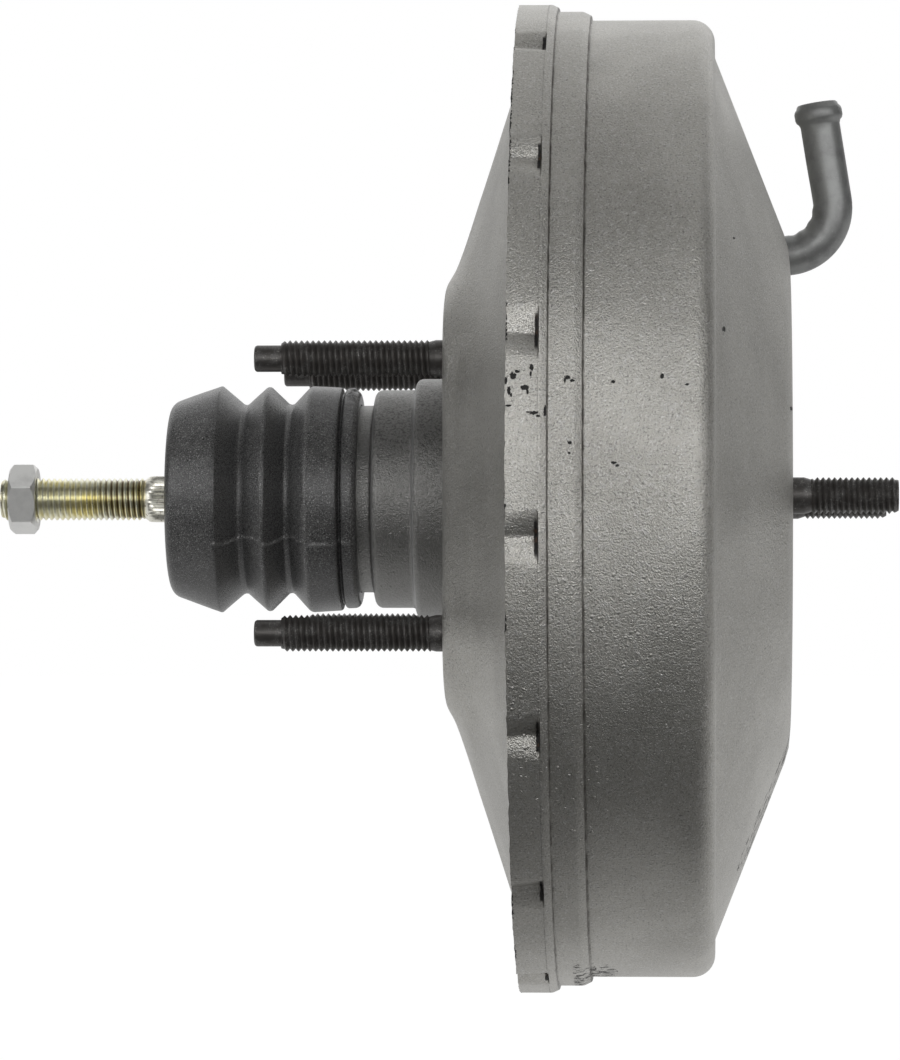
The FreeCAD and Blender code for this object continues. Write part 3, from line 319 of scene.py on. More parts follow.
@dataclass(frozen=True)
class ShellPaint:
    """Silver-grey paint over pressed steel, grainy, chipped to dark metal and scuffed at edges.

    Each chip is a flake of paint gone from the near side, by its X, its Z, its length and its height.
    """

    silver: Point = (0.52, 0.508, 0.472)
    shadow: Point = (0.415, 0.404, 0.373)
    # Dark of paint chipped down to metal, also used for the painted shade in the lance slits.
    primer_and_slit_shade: Point = (0.018, 0.017, 0.016)
    rust: Point = (0.10, 0.055, 0.03)
    # Colour of the painted shade in the crease at the foot of each step.
    crease_shade_colour: Point = (0.055, 0.048, 0.040)
    neck_colour: Point = (0.22, 0.218, 0.21)
    neck_x: float = -0.6
    rims_x: Point = (-17.1, -7.9, -25.9)
    step_r: float = 105.0
    chips: tuple[Point, ...] = (
        (17.5, 23.6, 0.93, 1.13), (18.4, 24.5, 0.93, 0.45), (21.3, 25.4, 0.74, 0.95),
        (21.1, 24.0, 0.33, 0.95), (16.0, 22.7, 0.45, 1.13), (16.7, 20.6, 0.58, 1.15),
        (17.1, 19.6, 0.33, 0.70), (20.0, 21.2, 1.24, 0.86), (20.5, 20.3, 0.37, 0.86),
        (16.6, 17.4, 0.95, 0.33), (21.8, 15.9, 1.23, 0.58), (22.7, 15.3, 0.70, 0.41),
        (20.7, 16.1, 0.91, 0.27), (24.1, 16.3, 0.41, 1.65), (28.7, 23.4, 0.95, 0.58),
        (28.1, 22.7, 0.33, 0.78), (29.6, 22.7, 0.87, 0.50), (38.0, 22.5, 0.70, 0.58),
        (48.2, 23.6, 0.66, 0.87), (53.3, 21.9, 0.83, 0.33), (29.2, 9.8, 0.66, 0.49),
        (29.1, 7.7, 0.54, 0.33), (38.2, 5.7, 0.95, 0.41), (39.0, 5.1, 0.66, 0.45),
        (61.0, 34.1, 0.55, 0.92), (63.2, 54.3, 0.43, 0.43), (72.8, 53.0, 0.48, 0.66),
        (25.2, 101.2, 0.39, 0.52), (75.6, 18.6, 0.52, 0.73),
    )

    def material(self) -> Material:
        """Returns the paint."""
        shader = Shader("shell_paint")
        broad = shader.grain(0.035, 3.0)
        mottled = shader.grain(0.9, 3.0, roughness=0.6)
        fine = shader.grain(2.6, 2.0, roughness=0.55)
        sparkle = shader.grain(5.5, 1.0)
        neck = shader.x.rise(self.neck_x + 0.3, self.neck_x - 0.3)
        bare_and_slit_shade = self.flaked(shader).largest(self.ragged_edge(shader)).largest(self.scuffs(shader))
        # The slit mask joins the chips here: it is painted shade, not chipped paint.
        bare_and_slit_shade = bare_and_slit_shade.largest(self.slit(shader))
        rusty = shader.grain(0.55, 3.0).rise(0.55, 0.68) * self.slit_dirt(shader)
        paint = shader.layered(
            self.shadow, (broad.rise(0.35, 0.68), self.silver), (mottled.rise(0.45, 0.75) * 0.35, 0.62),
            (fine.rise(0.56, 0.74) * 0.55, 0.8), (fine.rise(0.45, 0.28) * 0.6, 0.14),
            # The crease layer on this line is painted shade in the step crease.
            (neck, self.neck_paint(shader)), (self.painted_crease_shade(shader), self.crease_shade_colour), (bare_and_slit_shade, self.primer_and_slit_shade),
            (rusty * 0.85, self.rust),
        )
        dented = shader.radius.rise(110.95, 110.3) * shader.x.rise(22.5, 22.3) * shader.x.above(15.0)
        dented = dented * shader.radius.above(107.9)
        rough = 0.40 + (mottled - 0.5) * 0.14 + bare_and_slit_shade * 0.25 - neck * 0.03 - dented * 0.1
        height = mottled * 0.35 + fine * 0.45 + sparkle * 0.2 - bare_and_slit_shade * 0.5
        nibs = shader.spots(0.62).rise(0.26, 0.08) * shader.grain(0.05, 1.0).rise(0.45, 0.6)
        nibs = nibs * shader.z.rise(14.0, -8.0)
        normal = shader.relief(nibs, 1.0, 0.13, shader.relief(height, 1.0, 0.36))
        return shader.wear(Base_Color=paint, Roughness=rough, Metallic=0.82 - bare_and_slit_shade * 0.7, Normal=normal)

    def neck_paint(self, shader: Shader) -> Socket:
        """Returns the colour of the neck: rubbed dark, with darker speckle towards the top and light rim
        lines that are wear and painted highlight.
        """
        coarse = shader.grain(1.9, 3.0, roughness=0.6)
        upper = 0.2 + shader.z.rise(-2.0, 14.0) * 0.45 * shader.x.rise(-18.0, -16.5)
        first, second, third = ((shader.x - rim_x).size() for rim_x in self.rims_x)
        # Light lines along each rim: wear with a painted highlight.
        rim_wear_and_highlight = first.smallest(second).smallest(third)
        return shader.layered(
            self.neck_colour, (coarse.rise(0.54, 0.36) * upper, 0.07),
            (coarse.rise(0.6, 0.75) * 0.35, 0.42), (rim_wear_and_highlight.rise(0.5, 0.15) * 0.6, 0.55),
        )

    def flaked(self, shader: Shader) -> Field:
        """Returns 1 where a chip of paint is gone from the near side."""
        ragged = shader.grain(1.9, 2.0, roughness=0.6) - 0.5
        least = None
        for x, z, length, height in self.chips:
            across = (shader.x - x) / (length * 0.62)
            along = (shader.z - z) / (height * 0.62)
            reach = across * across + along * along
            least = reach if least is None else least.smallest(reach)
        return (least.root() + ragged * 1.9).rise(1.1, 0.9) * shader.y.rise(-44.0, -50.0)

    def painted_crease_shade(self, shader: Shader) -> Field:
        """Returns up to 1 along the foot of the shell's two steps, where a dark line is painted as shade in
        the crease.
        """
        wander = (shader.grain(0.12, 3.0) - 0.5) * 0.5
        patchy = 0.3 + shader.grain(0.25, 3.0).rise(0.35, 0.65) * 0.5
        first = (shader.x - 24.5 + wander * 0.3).size().rise(0.35, 0.05)
        second = (shader.x - 31.85 + wander * 0.4).size().rise(0.4, 0.1)
        return first.largest(second) * patchy * shader.radius.above(self.step_r)

    def ragged_edge(self, shader: Shader) -> Field:
        """Returns 1 along the worn raw edge of the crimped band."""
        ragged = shader.grain(1.3, 3.0, roughness=0.6)
        patches = shader.grain(0.055, 2.0).rise(0.46, 0.6)
        edge = shader.x.rise(16.15, 15.75)
        wide = shader.x.rise(16.9, 15.8) * patches
        worn = (edge * 0.40).largest(wide * 0.6) + ragged
        return worn.rise(1.0, 1.08) * shader.radius.above(104.0)

    def scuffs(self, shader: Shader) -> Field:
        """Returns 1 on dark scuffs low on the wall and along the lower edge of the front cone."""
        ragged = shader.grain(0.5, 5.0, (1.0, 1.0, 0.6), 0.75)
        low = shader.z.rise(-100.0, -104.5) * shader.x.rise(42.0, 36.0) * shader.x.above(28.0)
        rim = (shader.z + shader.radius * 0.92).rise(1.0, -1.4) * shader.radius.rise(99.0, 84.0)
        cone = shader.x.rise(60.0, 64.0) * rim * shader.radius.above(50.0)
        worn = (low * 0.33).largest(cone * 0.295) + ragged
        return worn.rise(0.83, 0.90)

    def slit_dirt(self, shader: Shader) -> Field:
        """Returns 1 near the slits of the lances, where dirt and rust gather."""
        near = (shader.x - 22.4).size().rise(1.3, 0.2)
        return near * shader.radius.rise(110.9, 109.6) * shader.radius.above(self.step_r)

    def slit(self, shader: Shader) -> Field:
        """Returns 1 in the dark slit at the end of each lance, where the gap's shade is painted."""
        wander = (shader.grain(0.9, 2.0) - 0.5) * 0.5
        dark = (shader.x - 22.3 + wander).size().rise(0.5, 0.3) * shader.x.rise(22.62, 22.5)
        return dark * shader.radius.rise(110.7, 110.3) * shader.radius.above(self.step_r)


@dataclass(frozen=True)
class BlackSteel:
    """Oiled black phosphate of the studs, worn bright in patches."""

    black: Point = (0.075, 0.070, 0.066)
    worn: Point = (0.34, 0.33, 0.31)

    def material(self) -> Material:
        """Returns the finish."""
        shader = Shader("black_steel")
        cloud = shader.grain(0.35, 4.0, roughness=0.65)
        fine = shader.grain(3.0, 3.0)
        rubbed = fine.rise(0.5, 0.8) * cloud.rise(0.45, 0.6)
        paint = shader.layered(self.black, (cloud.rise(0.4, 0.75) * 0.6, 0.15), (rubbed, self.worn))
        rough = 0.42 + (cloud - 0.5) * 0.3
        normal = shader.relief(fine * 0.5 + cloud * 0.5, 0.5, 0.05)
        return shader.wear(Base_Color=paint, Roughness=rough, Metallic=0.55, Normal=normal)


@dataclass(frozen=True)
class YellowZinc:
    """Yellow passivated zinc on the input rod, with an iridescent drift, dirt and painted shade in the
    roots, and a painted highlight on the crests.
    """

    gold: Point = (0.97, 0.90, 0.50)
    straw: Point = (0.90, 0.89, 0.70)
    silver: Point = (0.92, 0.91, 0.84)
    brown: Point = (0.13, 0.085, 0.04)
    root_r: float = 4.2
    crest_r: float = 4.65
    shank_x: float = -69.6
    # Span along X over which the dirt and painted shade in the thread roots grow stronger.
    root_dirt_and_shade_x: Place = (-84.0, -76.0)

    def material(self) -> Material:
        """Returns the finish."""
        shader = Shader("yellow_zinc")
        drift = shader.grain(0.12, 3.0)
        fine = shader.grain(1.8, 3.0)
        shank = shader.x.rise(self.shank_x - 0.6, self.shank_x + 0.6)
        crest_highlight = shader.radius.rise(self.crest_r - 0.1, self.crest_r + 0.1)
        root = shader.radius.rise(self.crest_r, self.root_r)
        root_dirt_and_shade = root * (0.3 + shader.x.rise(*self.root_dirt_and_shade_x) * 0.6) * (1.0 - shank)
        rusty = fine.rise(0.56, 0.72) * (0.25 + shank * 0.4)
        paint = shader.layered(
            self.gold, (drift.rise(0.38, 0.62), self.straw), (shank * 0.85, self.silver),
            # Silver on the crests is a painted highlight; brown in the roots is dirt and painted shade.
            (crest_highlight * 0.4, self.silver), (root_dirt_and_shade, self.brown), (rusty, self.brown),
        )
        rough = 0.19 + drift * 0.1 + fine * 0.12 + shank * 0.08
        normal = shader.relief(fine, 0.35, 0.03)
        return shader.wear(Base_Color=paint, Roughness=rough, Metallic=0.92, Normal=normal)


@dataclass(frozen=True)
class PlainSteel:
    """Steel without paint: nut, plates, springs and turned parts, by its tone and its roughness."""

    name: str
    tone: Point
    roughness: float = 0.35
    patches: float = 0.25
    metal: float = 0.9

    def material(self) -> Material:
        """Returns the finish."""
        shader = Shader(self.name)
        cloud = shader.grain(0.22, 4.0)
        fine = shader.grain(2.2, 3.0, (1.0, 0.4, 0.4))
        dark = darker(self.tone, 0.55)
        paint = shader.layered(
            self.tone, (cloud.rise(0.45, 0.75) * self.patches * 2, dark),
            (fine.rise(0.6, 0.8) * self.patches, dark),
        )
        rough = self.roughness + (cloud - 0.5) * 0.2 + fine * 0.08
        normal = shader.relief(fine, 0.4, 0.03)
        return shader.wear(Base_Color=paint, Roughness=rough, Metallic=self.metal, Normal=normal)


@dataclass(frozen=True)
class TubePaint:
    """Grey paint on the vacuum nipple, thin over a wrinkled bend."""

    tone: Point = (0.30, 0.305, 0.30)

    def material(self) -> Material:
        """Returns the finish."""
        shader = Shader("nipple_paint")
        cloud = shader.grain(0.25, 4.0)
        fine = shader.grain(2.4, 2.0)
        paint = shader.layered(
            self.tone, (cloud.rise(0.4, 0.7) * 0.6, 0.17), (fine.rise(0.6, 0.8) * 0.3, 0.5)
        )
        normal = shader.relief(cloud * 0.6 + fine * 0.4, 0.7, 0.09)
        return shader.wear(Base_Color=paint, Roughness=0.34 + cloud * 0.16, Metallic=0.45, Normal=normal)


@dataclass(frozen=True)
class DustyRubber:
    """Black moulded rubber with a film of dust, pale specks, rubbed patches and painted glints.

    Rubber that reads its own mesh layer takes from it both its dust and the painted shade where that layer
    is empty.
    """

    name: str = "boot_rubber"
    black: Point = (0.045, 0.045, 0.045)
    dust: Point = (0.165, 0.163, 0.158)
    dust_and_painted_light: float = 0.55
    own_dust_and_shade: bool = False
    pale_cover: ClassVar[str] = "dust_and_painted_shade"

    def material(self) -> Material:
        """Returns the finish."""
        shader = Shader(self.name)
        broad = shader.grain(0.07, 4.0, roughness=0.6)
        mottled = shader.grain(0.55, 5.0, roughness=0.68)
        fine = shader.grain(3.2, 3.0)
        speck = shader.grain(2.0, 2.0).rise(0.6, 0.72)
        pale_cover = (mottled * 0.55 + broad * 0.45).rise(0.42, 0.64)
        # Painted glints: pale flecks standing in for small highlights.
        sparkle = shader.grain(4.2, 1.0).rise(0.56, 0.68)
        # The mesh layer scales the dust: where it is 0, the black rubber is painted shade.
        if self.own_dust_and_shade:
            layer_dust_and_shade = shader.value("ShaderNodeAttribute", {"attribute_name": self.pale_cover}, {}, "Fac")
            pale_cover = (0.35 + pale_cover * 0.65) * layer_dust_and_shade
            speck = speck * layer_dust_and_shade
            sparkle = sparkle * (0.25 + layer_dust_and_shade * 0.75)
        paint = shader.layered(
            self.black, (pale_cover * self.dust_and_painted_light, self.dust), (speck * 0.75 * self.dust_and_painted_light, 0.42),
            (sparkle * 0.9 * self.dust_and_painted_light, 0.6), (fine.rise(0.5, 0.3) * 0.7, 0.01),
        )
        rough = 0.28 + pale_cover * 0.06 + (fine - 0.5) * 0.2
        normal = shader.relief(mottled * 0.4 + fine * 0.6, 1.0, 0.15)
        return shader.wear(Base_Color=paint, Roughness=rough, Normal=normal, Specular_IOR_Level=0.55)


@dataclass(frozen=True)
class Moulding:
    """Moulded plastic, foam or felt, by its tone, its grain a millimetre and its depth."""

    name: str
    tone: Point
    per_mm: float = 1.2
    depth: float = 0.05
    roughness: float = 0.5

    def material(self) -> Material:
        """Returns the finish."""
        shader = Shader(self.name)
        cells = shader.spots(self.per_mm)
        cloud = shader.grain(0.15, 3.0)
        dark = darker(self.tone, 0.5)
        paint = shader.layered(
            self.tone, (cells.rise(0.2, 0.7) * 0.5, dark), (cloud.rise(0.45, 0.75) * 0.3, dark)
        )
        rough = self.roughness + (cloud - 0.5) * 0.2
        return shader.wear(Base_Color=paint, Roughness=rough, Normal=shader.relief(cells, 0.6, self.depth))


# Shaping meshes

TINY = 1e-6
STRAIGHT = 1e-4
WELD = 1e-4
COIL_STEPS = 40
# One tooth of a thread: its place in the pitch and its height, both from 0 to 1
TOOTH = ((0.0, 0.0), (0.07, 0.10), (0.42, 0.90), (0.5, 1.0), (0.58, 0.90), (0.93, 0.10))


@dataclass
class Outline:
    """Outline in the X-radius plane; a corner's third number is the radius of its bend."""

    corners: Sequence[Point]
    closed: bool = True
    arc_deg: float = 10.0
    reach: float = 3.0

    def bend_at(self, index: int) -> float:
        """Returns the radius of a corner's bend."""
        corner = self.corners[index]
        return corner[2] if len(corner) > 2 else 0.0

    def moved(self, distance: float) -> list[Point]:
        """Returns the open outline moved to its right, with its bends following.

        Args:
            distance: How far it is moved, in millimetres.
        """
        sides = []
        for start, end in zip(self.corners, self.corners[1:]):
            way = Vector((end[0] - start[0], end[1] - start[1])).normalized()
            sides.append((Vector(start[:2]) + Vector((way.y, -way.x)) * distance, way))
        made = [tuple(sides[0][0])]
        for index in range(1, len(self.corners) - 1):
            (here, way), (there, other) = sides[index - 1], sides[index]
            turn = way.x * other.y - way.y * other.x
            gap = there - here
            along = (gap.x * other.y - gap.y * other.x) / turn
            bend = self.bend_at(index)
            bend = bend + distance if turn > 0 else max(bend - distance, 0.0)
            made.append((*(here + way * along), bend))
        last = Vector(self.corners[-1][:2]) + sides[-1][0] - Vector(self.corners[-2][:2])
        return made + [tuple(last)]

    def points(self) -> list[Vector]:
        """Returns the outline's points, with bends as arcs and long sides in short steps."""
        count = len(self.corners)
        spans: list[list[Vector]] = []
        for index, corner in enumerate(self.corners):
            here = Vector(corner[:2])
            bend = self.bend_at(index)
            at_end = not self.closed and index in (0, count - 1)
            if bend < TINY or at_end:
                spans.append([here])
                continue
            back = (Vector(self.corners[index - 1][:2]) - here).normalized()
            ahead = (Vector(self.corners[(index + 1) % count][:2]) - here).normalized()
            half = back.angle(ahead) / 2
            if abs(half - math.pi / 2) < STRAIGHT:
                spans.append([here])
                continue
            middle = (back + ahead).normalized()
            centre = here + middle * (bend / math.sin(half))
            start = here + back * (bend / math.tan(half)) - centre
            sweep = math.pi - 2 * half
            if back.x * ahead.y - back.y * ahead.x > 0:
                sweep = -sweep
            steps = max(2, round(abs(math.degrees(sweep)) / self.arc_deg))
            turns = [Matrix.Rotation(sweep * step / steps, 2) for step in range(steps + 1)]
            spans.append([centre + turn @ start for turn in turns])
        made: list[Vector] = []
        for index, span in enumerate(spans):
            made.extend(span)
            if index == count - 1 and not self.closed:
                break
            start, end = span[-1], spans[(index + 1) % count][0]
            cuts = int((end - start).length // self.reach)
            made.extend(start.lerp(end, (cut + 1) / (cuts + 1)) for cut in range(cuts))
        return made


def spun(outline: Outline, steps: int) -> Mesh:
    """Turns an outline about the booster's axis.

    Args:
        outline: The outline to turn.
        steps: Number of faces round the axis, a multiple of 8.

    Returns:
        A closed mesh whose faces point outwards.
    """
    bm = bmesh.new()
    verts = [bm.verts.new((point.x, 0.0, point.y)) for point in outline.points()]
    pairs = list(zip(verts, verts[1:]))
    if outline.closed:
        pairs.append((verts[-1], verts[0]))
    edges = [bm.edges.new(pair) for pair in pairs]
    wedge = {"angle": math.tau / 8, "steps": steps // 8}
    bmesh.ops.spin(bm, geom=verts + edges, cent=ORIGIN, axis=AXIS, **wedge)
    for share in (8, 4, 2):
        copied = verts_in(bmesh.ops.duplicate(bm, geom=whole(bm))["geom"])
        turn = Matrix.Rotation(math.tau / share, 3, "X")
        bmesh.ops.rotate(bm, cent=ORIGIN, matrix=turn, verts=copied)
    return sealed(bm)


def verts_in(items: Iterable[Any]) -> list[Vert]:
    """Returns the vertices among parts of a mesh."""
    return [item for item in items if isinstance(item, Vert)]


def whole(bm: Mesh) -> list:
    """Returns all parts of a mesh."""
    return bm.verts[:] + bm.edges[:] + bm.faces[:]


def capped(bm: Mesh) -> Mesh:
    """Closes a mesh's open ends."""
    bmesh.ops.holes_fill(bm, edges=[edge for edge in bm.edges if edge.is_boundary], sides=0)
    return bm


def widen(vert: Vert, share: float) -> None:
    """Moves a vertex to a share of its distance from the axis."""
    vert.co.y *= share
    vert.co.z *= share


def radius_of(vert: Vert) -> float:
    """Returns a vertex's distance from the axis."""
    return math.hypot(vert.co.y, vert.co.z)


def sealed(bm: Mesh) -> Mesh:
    """Merges a mesh's doubles and turns its faces outwards."""
    bmesh.ops.remove_doubles(bm, verts=bm.verts, dist=WELD)
    bmesh.ops.recalc_face_normals(bm, faces=bm.faces)
    return bm


def sheet(path: Sequence[Point], thick: float, steps: int, reach: float = 3.0) -> Mesh:
    """Turns a pressed sheet whose visible skin is the path and whose metal lies to its right."""
    skin = Outline(path, closed=False)
    return spun(Outline(list(path) + skin.moved(thick)[::-1], reach=reach), steps)


def threaded(x_low: float, x_high: float, major: float, depth: float, pitch: float,
             steps: int = 36, ends: float = 1.0) -> Mesh:
    """Makes a threaded bar along X, capped, with its two ends chamfered.

    Args:
        x_low: Lower end.
        x_high: Upper end.
        major: Radius of the crests.
        depth: Depth of the thread.
        pitch: Advance of one turn.
        steps: Faces round one turn.
        ends: Length of the chamfer at each end.

    Returns:
        A closed mesh.
    """
    bm = bmesh.new()
    verts = []
    for tooth in range(math.ceil((x_high - x_low) / pitch) + 3):
        for share, height in TOOTH:
            x = x_low + (tooth - 2 + share) * pitch
            verts.append(bm.verts.new((x, 0.0, major - depth + depth * height)))
    edges = [bm.edges.new(pair) for pair in zip(verts, verts[1:])]
    bmesh.ops.spin(
        bm, geom=verts + edges, cent=ORIGIN, axis=AXIS, dvec=AXIS * (pitch / steps),
        angle=math.tau, steps=steps,
    )
    bmesh.ops.remove_doubles(bm, verts=bm.verts, dist=1e-3)
    for x, normal in ((x_low, -AXIS), (x_high, AXIS)):
        cut = {"plane_co": (x, 0, 0), "plane_no": normal, "clear_outer": True}
        bmesh.ops.bisect_plane(bm, geom=whole(bm), dist=1e-5, **cut)
    for vert in bm.verts:
        inside = min(vert.co.x - x_low, x_high - vert.co.x)
        limit = major - depth * 1.1 + max(inside, 0.0) * depth * 1.2 / ends
        radius = radius_of(vert)
        if radius > limit:
            widen(vert, limit / radius)
    return sealed(capped(bm))


def joined(parts: Sequence[Mesh]) -> Mesh:
    """Puts several meshes into the first and frees the others."""
    first = parts[0]
    for part in parts[1:]:
        spare = bpy.data.meshes.new("spare")
        part.to_mesh(spare)
        part.free()
        first.from_mesh(spare)
        bpy.data.meshes.remove(spare)
    return first


def spread(bm: Mesh, places: Sequence[Place]) -> Mesh:
    """Copies a mesh from the axis to each (y, z) place and drops the one on the axis."""
    first = whole(bm)
    for place in places[1:]:
        copy = bmesh.ops.duplicate(bm, geom=first)["geom"]
        bmesh.ops.translate(bm, verts=verts_in(copy), vec=(0.0, *place))
    bmesh.ops.translate(bm, verts=verts_in(first), vec=(0.0, *places[0]))
    return bm


def coil(x_low: float, x_high: float, radius: float, wire: float, turns: int) -> Mesh:
    """Winds round wire into a coil along X, with its ends closed."""
    bm = bmesh.new()
    start = Matrix.Translation((x_low + wire / 2, 0.0, radius)) @ Matrix.Rotation(math.pi / 2, 4, "X")
    bmesh.ops.create_circle(bm, segments=12, radius=wire / 2, matrix=start)
    steps = COIL_STEPS * turns
    bmesh.ops.spin(
        bm, geom=bm.verts[:] + bm.edges[:], cent=ORIGIN, axis=AXIS, angle=math.tau * turns, steps=steps,
        dvec=AXIS * ((x_high - x_low - wire) / steps),
    )
    bmesh.ops.remove_doubles(bm, verts=bm.verts, dist=WELD)
    return sealed(capped(bm))


def placed(name: str, bm: Mesh) -> bpy.types.Object:
    """Turns a mesh in metres into an object of the scene and frees it."""
    mesh = bpy.data.meshes.new(name)
    bm.to_mesh(mesh)
    bm.free()
    made = bpy.data.objects.new(name, mesh)
    bpy.context.scene.collection.objects.link(made)
    return made


class Workshop:
    """Holds the finishes and turns meshes into pieces that ride on the frame's bodies."""

    def __init__(self, frame: dict[str, Any]) -> None:
        """Keeps the frame.
        """
        self.frame = frame
        self.finishes: dict[Any, Material] = {}

    def finish(self, kind: Any) -> Material:
        """Returns the material of a finish, made once."""
        if kind not in self.finishes:
            self.finishes[kind] = kind.material()
        return self.finishes[kind]

    def piece(self, name: str, bm: Mesh, kind: Any, body: Body | None,
              nodes: Sequence[str] = (), shade: Shade = Shade.PRESSED) -> bpy.types.Object:
        """Delivers a mesh as a piece of the booster.

        Args:
            name: The piece's name.
            bm: Its mesh in millimetres, which is freed.
            kind: Its finish.
            body: The body that it rides on; none for a piece that is left unattached.
            nodes: Frame nodes that it stands for.
            shade: How its faces are smoothed.

        Returns:
            The new object.
        """
        bmesh.ops.scale(bm, vec=(MM, MM, MM), verts=bm.verts)
        for face in bm.faces:
            face.smooth = True
        sharp = math.radians(shade.value)
        for edge in bm.edges:
            edge.smooth = not edge.is_manifold or edge.calc_face_angle(0.0) < sharp
        made = placed(name, bm)
        made.data.materials.append(self.finish(kind))
        if body:
            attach(made, body.value)
        if nodes:
            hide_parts(*nodes)
        LOG.info("%s on %s", name, body.value if body else "two bodies")
        return made

    def dress(self, kind: Any, *nodes: str) -> None:
        """Gives frame nodes that stay as they are a finish."""
        for name in nodes:
            slots = self.frame["nodes"][name].data.materials
            slots.clear()
            slots.append(self.finish(kind))
            LOG.info("%s: dressed", name)


# The booster's sub-assemblies


@dataclass
class RearShell:
    """Pressed rear shell with its stepped neck and its rounded-rectangle mounting plateau."""

    sheet: float = 1.8
    neck: tuple[Place, ...] = ((-26.0, 21.1), (-17.2, 24.6), (-8.0, 27.1))
    bend: float = 1.7
    plateau_half: Place = (54.0, 46.5)
    plateau_corner: float = 22.0
    softness: float = 1.1
    foot_bend: float = 4.0
    foot_reach: float = 14.0
    ease_reach: float = 8.0
    cone_rise: float = 3.09
    foot: Place = (6.7, 67.2)
    wall_r: float = 101.8
    rim: Place = (22.6, 108.2)
    halvings: int = 24
    shaped: Place = (2.0, 4.0)
    paint: ShellPaint = field(default_factory=ShellPaint)

    def base_x(self, radius: float) -> float:
        """Returns where a round plateau and its cone would lie at a radius."""
        return max(0.0, (radius - self.plateau_half[1]) / self.cone_rise)

    def pressed_x(self, y: float, z: float) -> float:
        """Returns where the pressed plateau and cone lie at a place across the axis."""
        radius = math.hypot(y, z)
        foot_x, foot_r = self.foot
        low, high = 0.0, foot_r
        side, height = abs(y) / radius, abs(z) / radius
        for _ in range(self.halvings):
            middle = (low + high) / 2
            over_y = max(side * middle - self.plateau_half[0] + self.plateau_corner, 0.0)
            over_z = max(height * middle - self.plateau_half[1] + self.plateau_corner, 0.0)
            if math.hypot(over_y, over_z) < self.plateau_corner:
                low = middle
            else:
                high = middle
        steep = foot_x / (foot_r - low)
        climb = (radius - low) * steep
        cone = (radius - self.plateau_half[1]) / self.cone_rise
        near = max(1.0 - abs(radius - foot_r) / self.foot_reach, 0.0)
        bend = self.foot_bend * (1.0 - 1.0 / (self.cone_rise * steep)) * near
        lean = (climb + cone - math.hypot(climb - cone, bend)) / 2
        soft = (lean + math.hypot(lean, self.softness)) / 2
        ease = min(max((radius - foot_r + self.ease_reach) / self.ease_reach, 0.0), 1.0)
        return soft + (max(lean, 0.0) - soft) * ease

    def build(self, shop: Workshop) -> None:
        """Makes and dresses the shell."""
        (end_x, small), (step_x, middle), (collar_x, large) = self.neck
        wall_x = (self.wall_r - self.plateau_half[1]) / self.cone_rise
        rim_x, rim_r = self.rim
        path = [
            (end_x, small), (step_x, small, self.bend / 2), (step_x, middle, self.bend),
            (collar_x, middle, self.bend / 2), (collar_x, large, self.bend),
            (0.0, large, 0.4), (0.0, self.plateau_half[1]), (wall_x, self.wall_r, 5.0),
            (rim_x, self.wall_r, 1.5), (rim_x, rim_r),
        ]
        bm = sheet(path, self.sheet, 320, 1.4)
        start, fade = self.shaped
        for vert in bm.verts:
            x, y, z = vert.co
            radius = radius_of(vert)
            if large + start < radius < self.foot[1] + self.foot_reach and x > -1.0:
                blend = min((radius - large - start) / fade, 1.0)
                vert.co.x += (self.pressed_x(y, z) - self.base_x(radius)) * blend
        shop.piece("rear_shell_pressing", bm, self.paint, Body.HOUSING, ["rear_shell"])


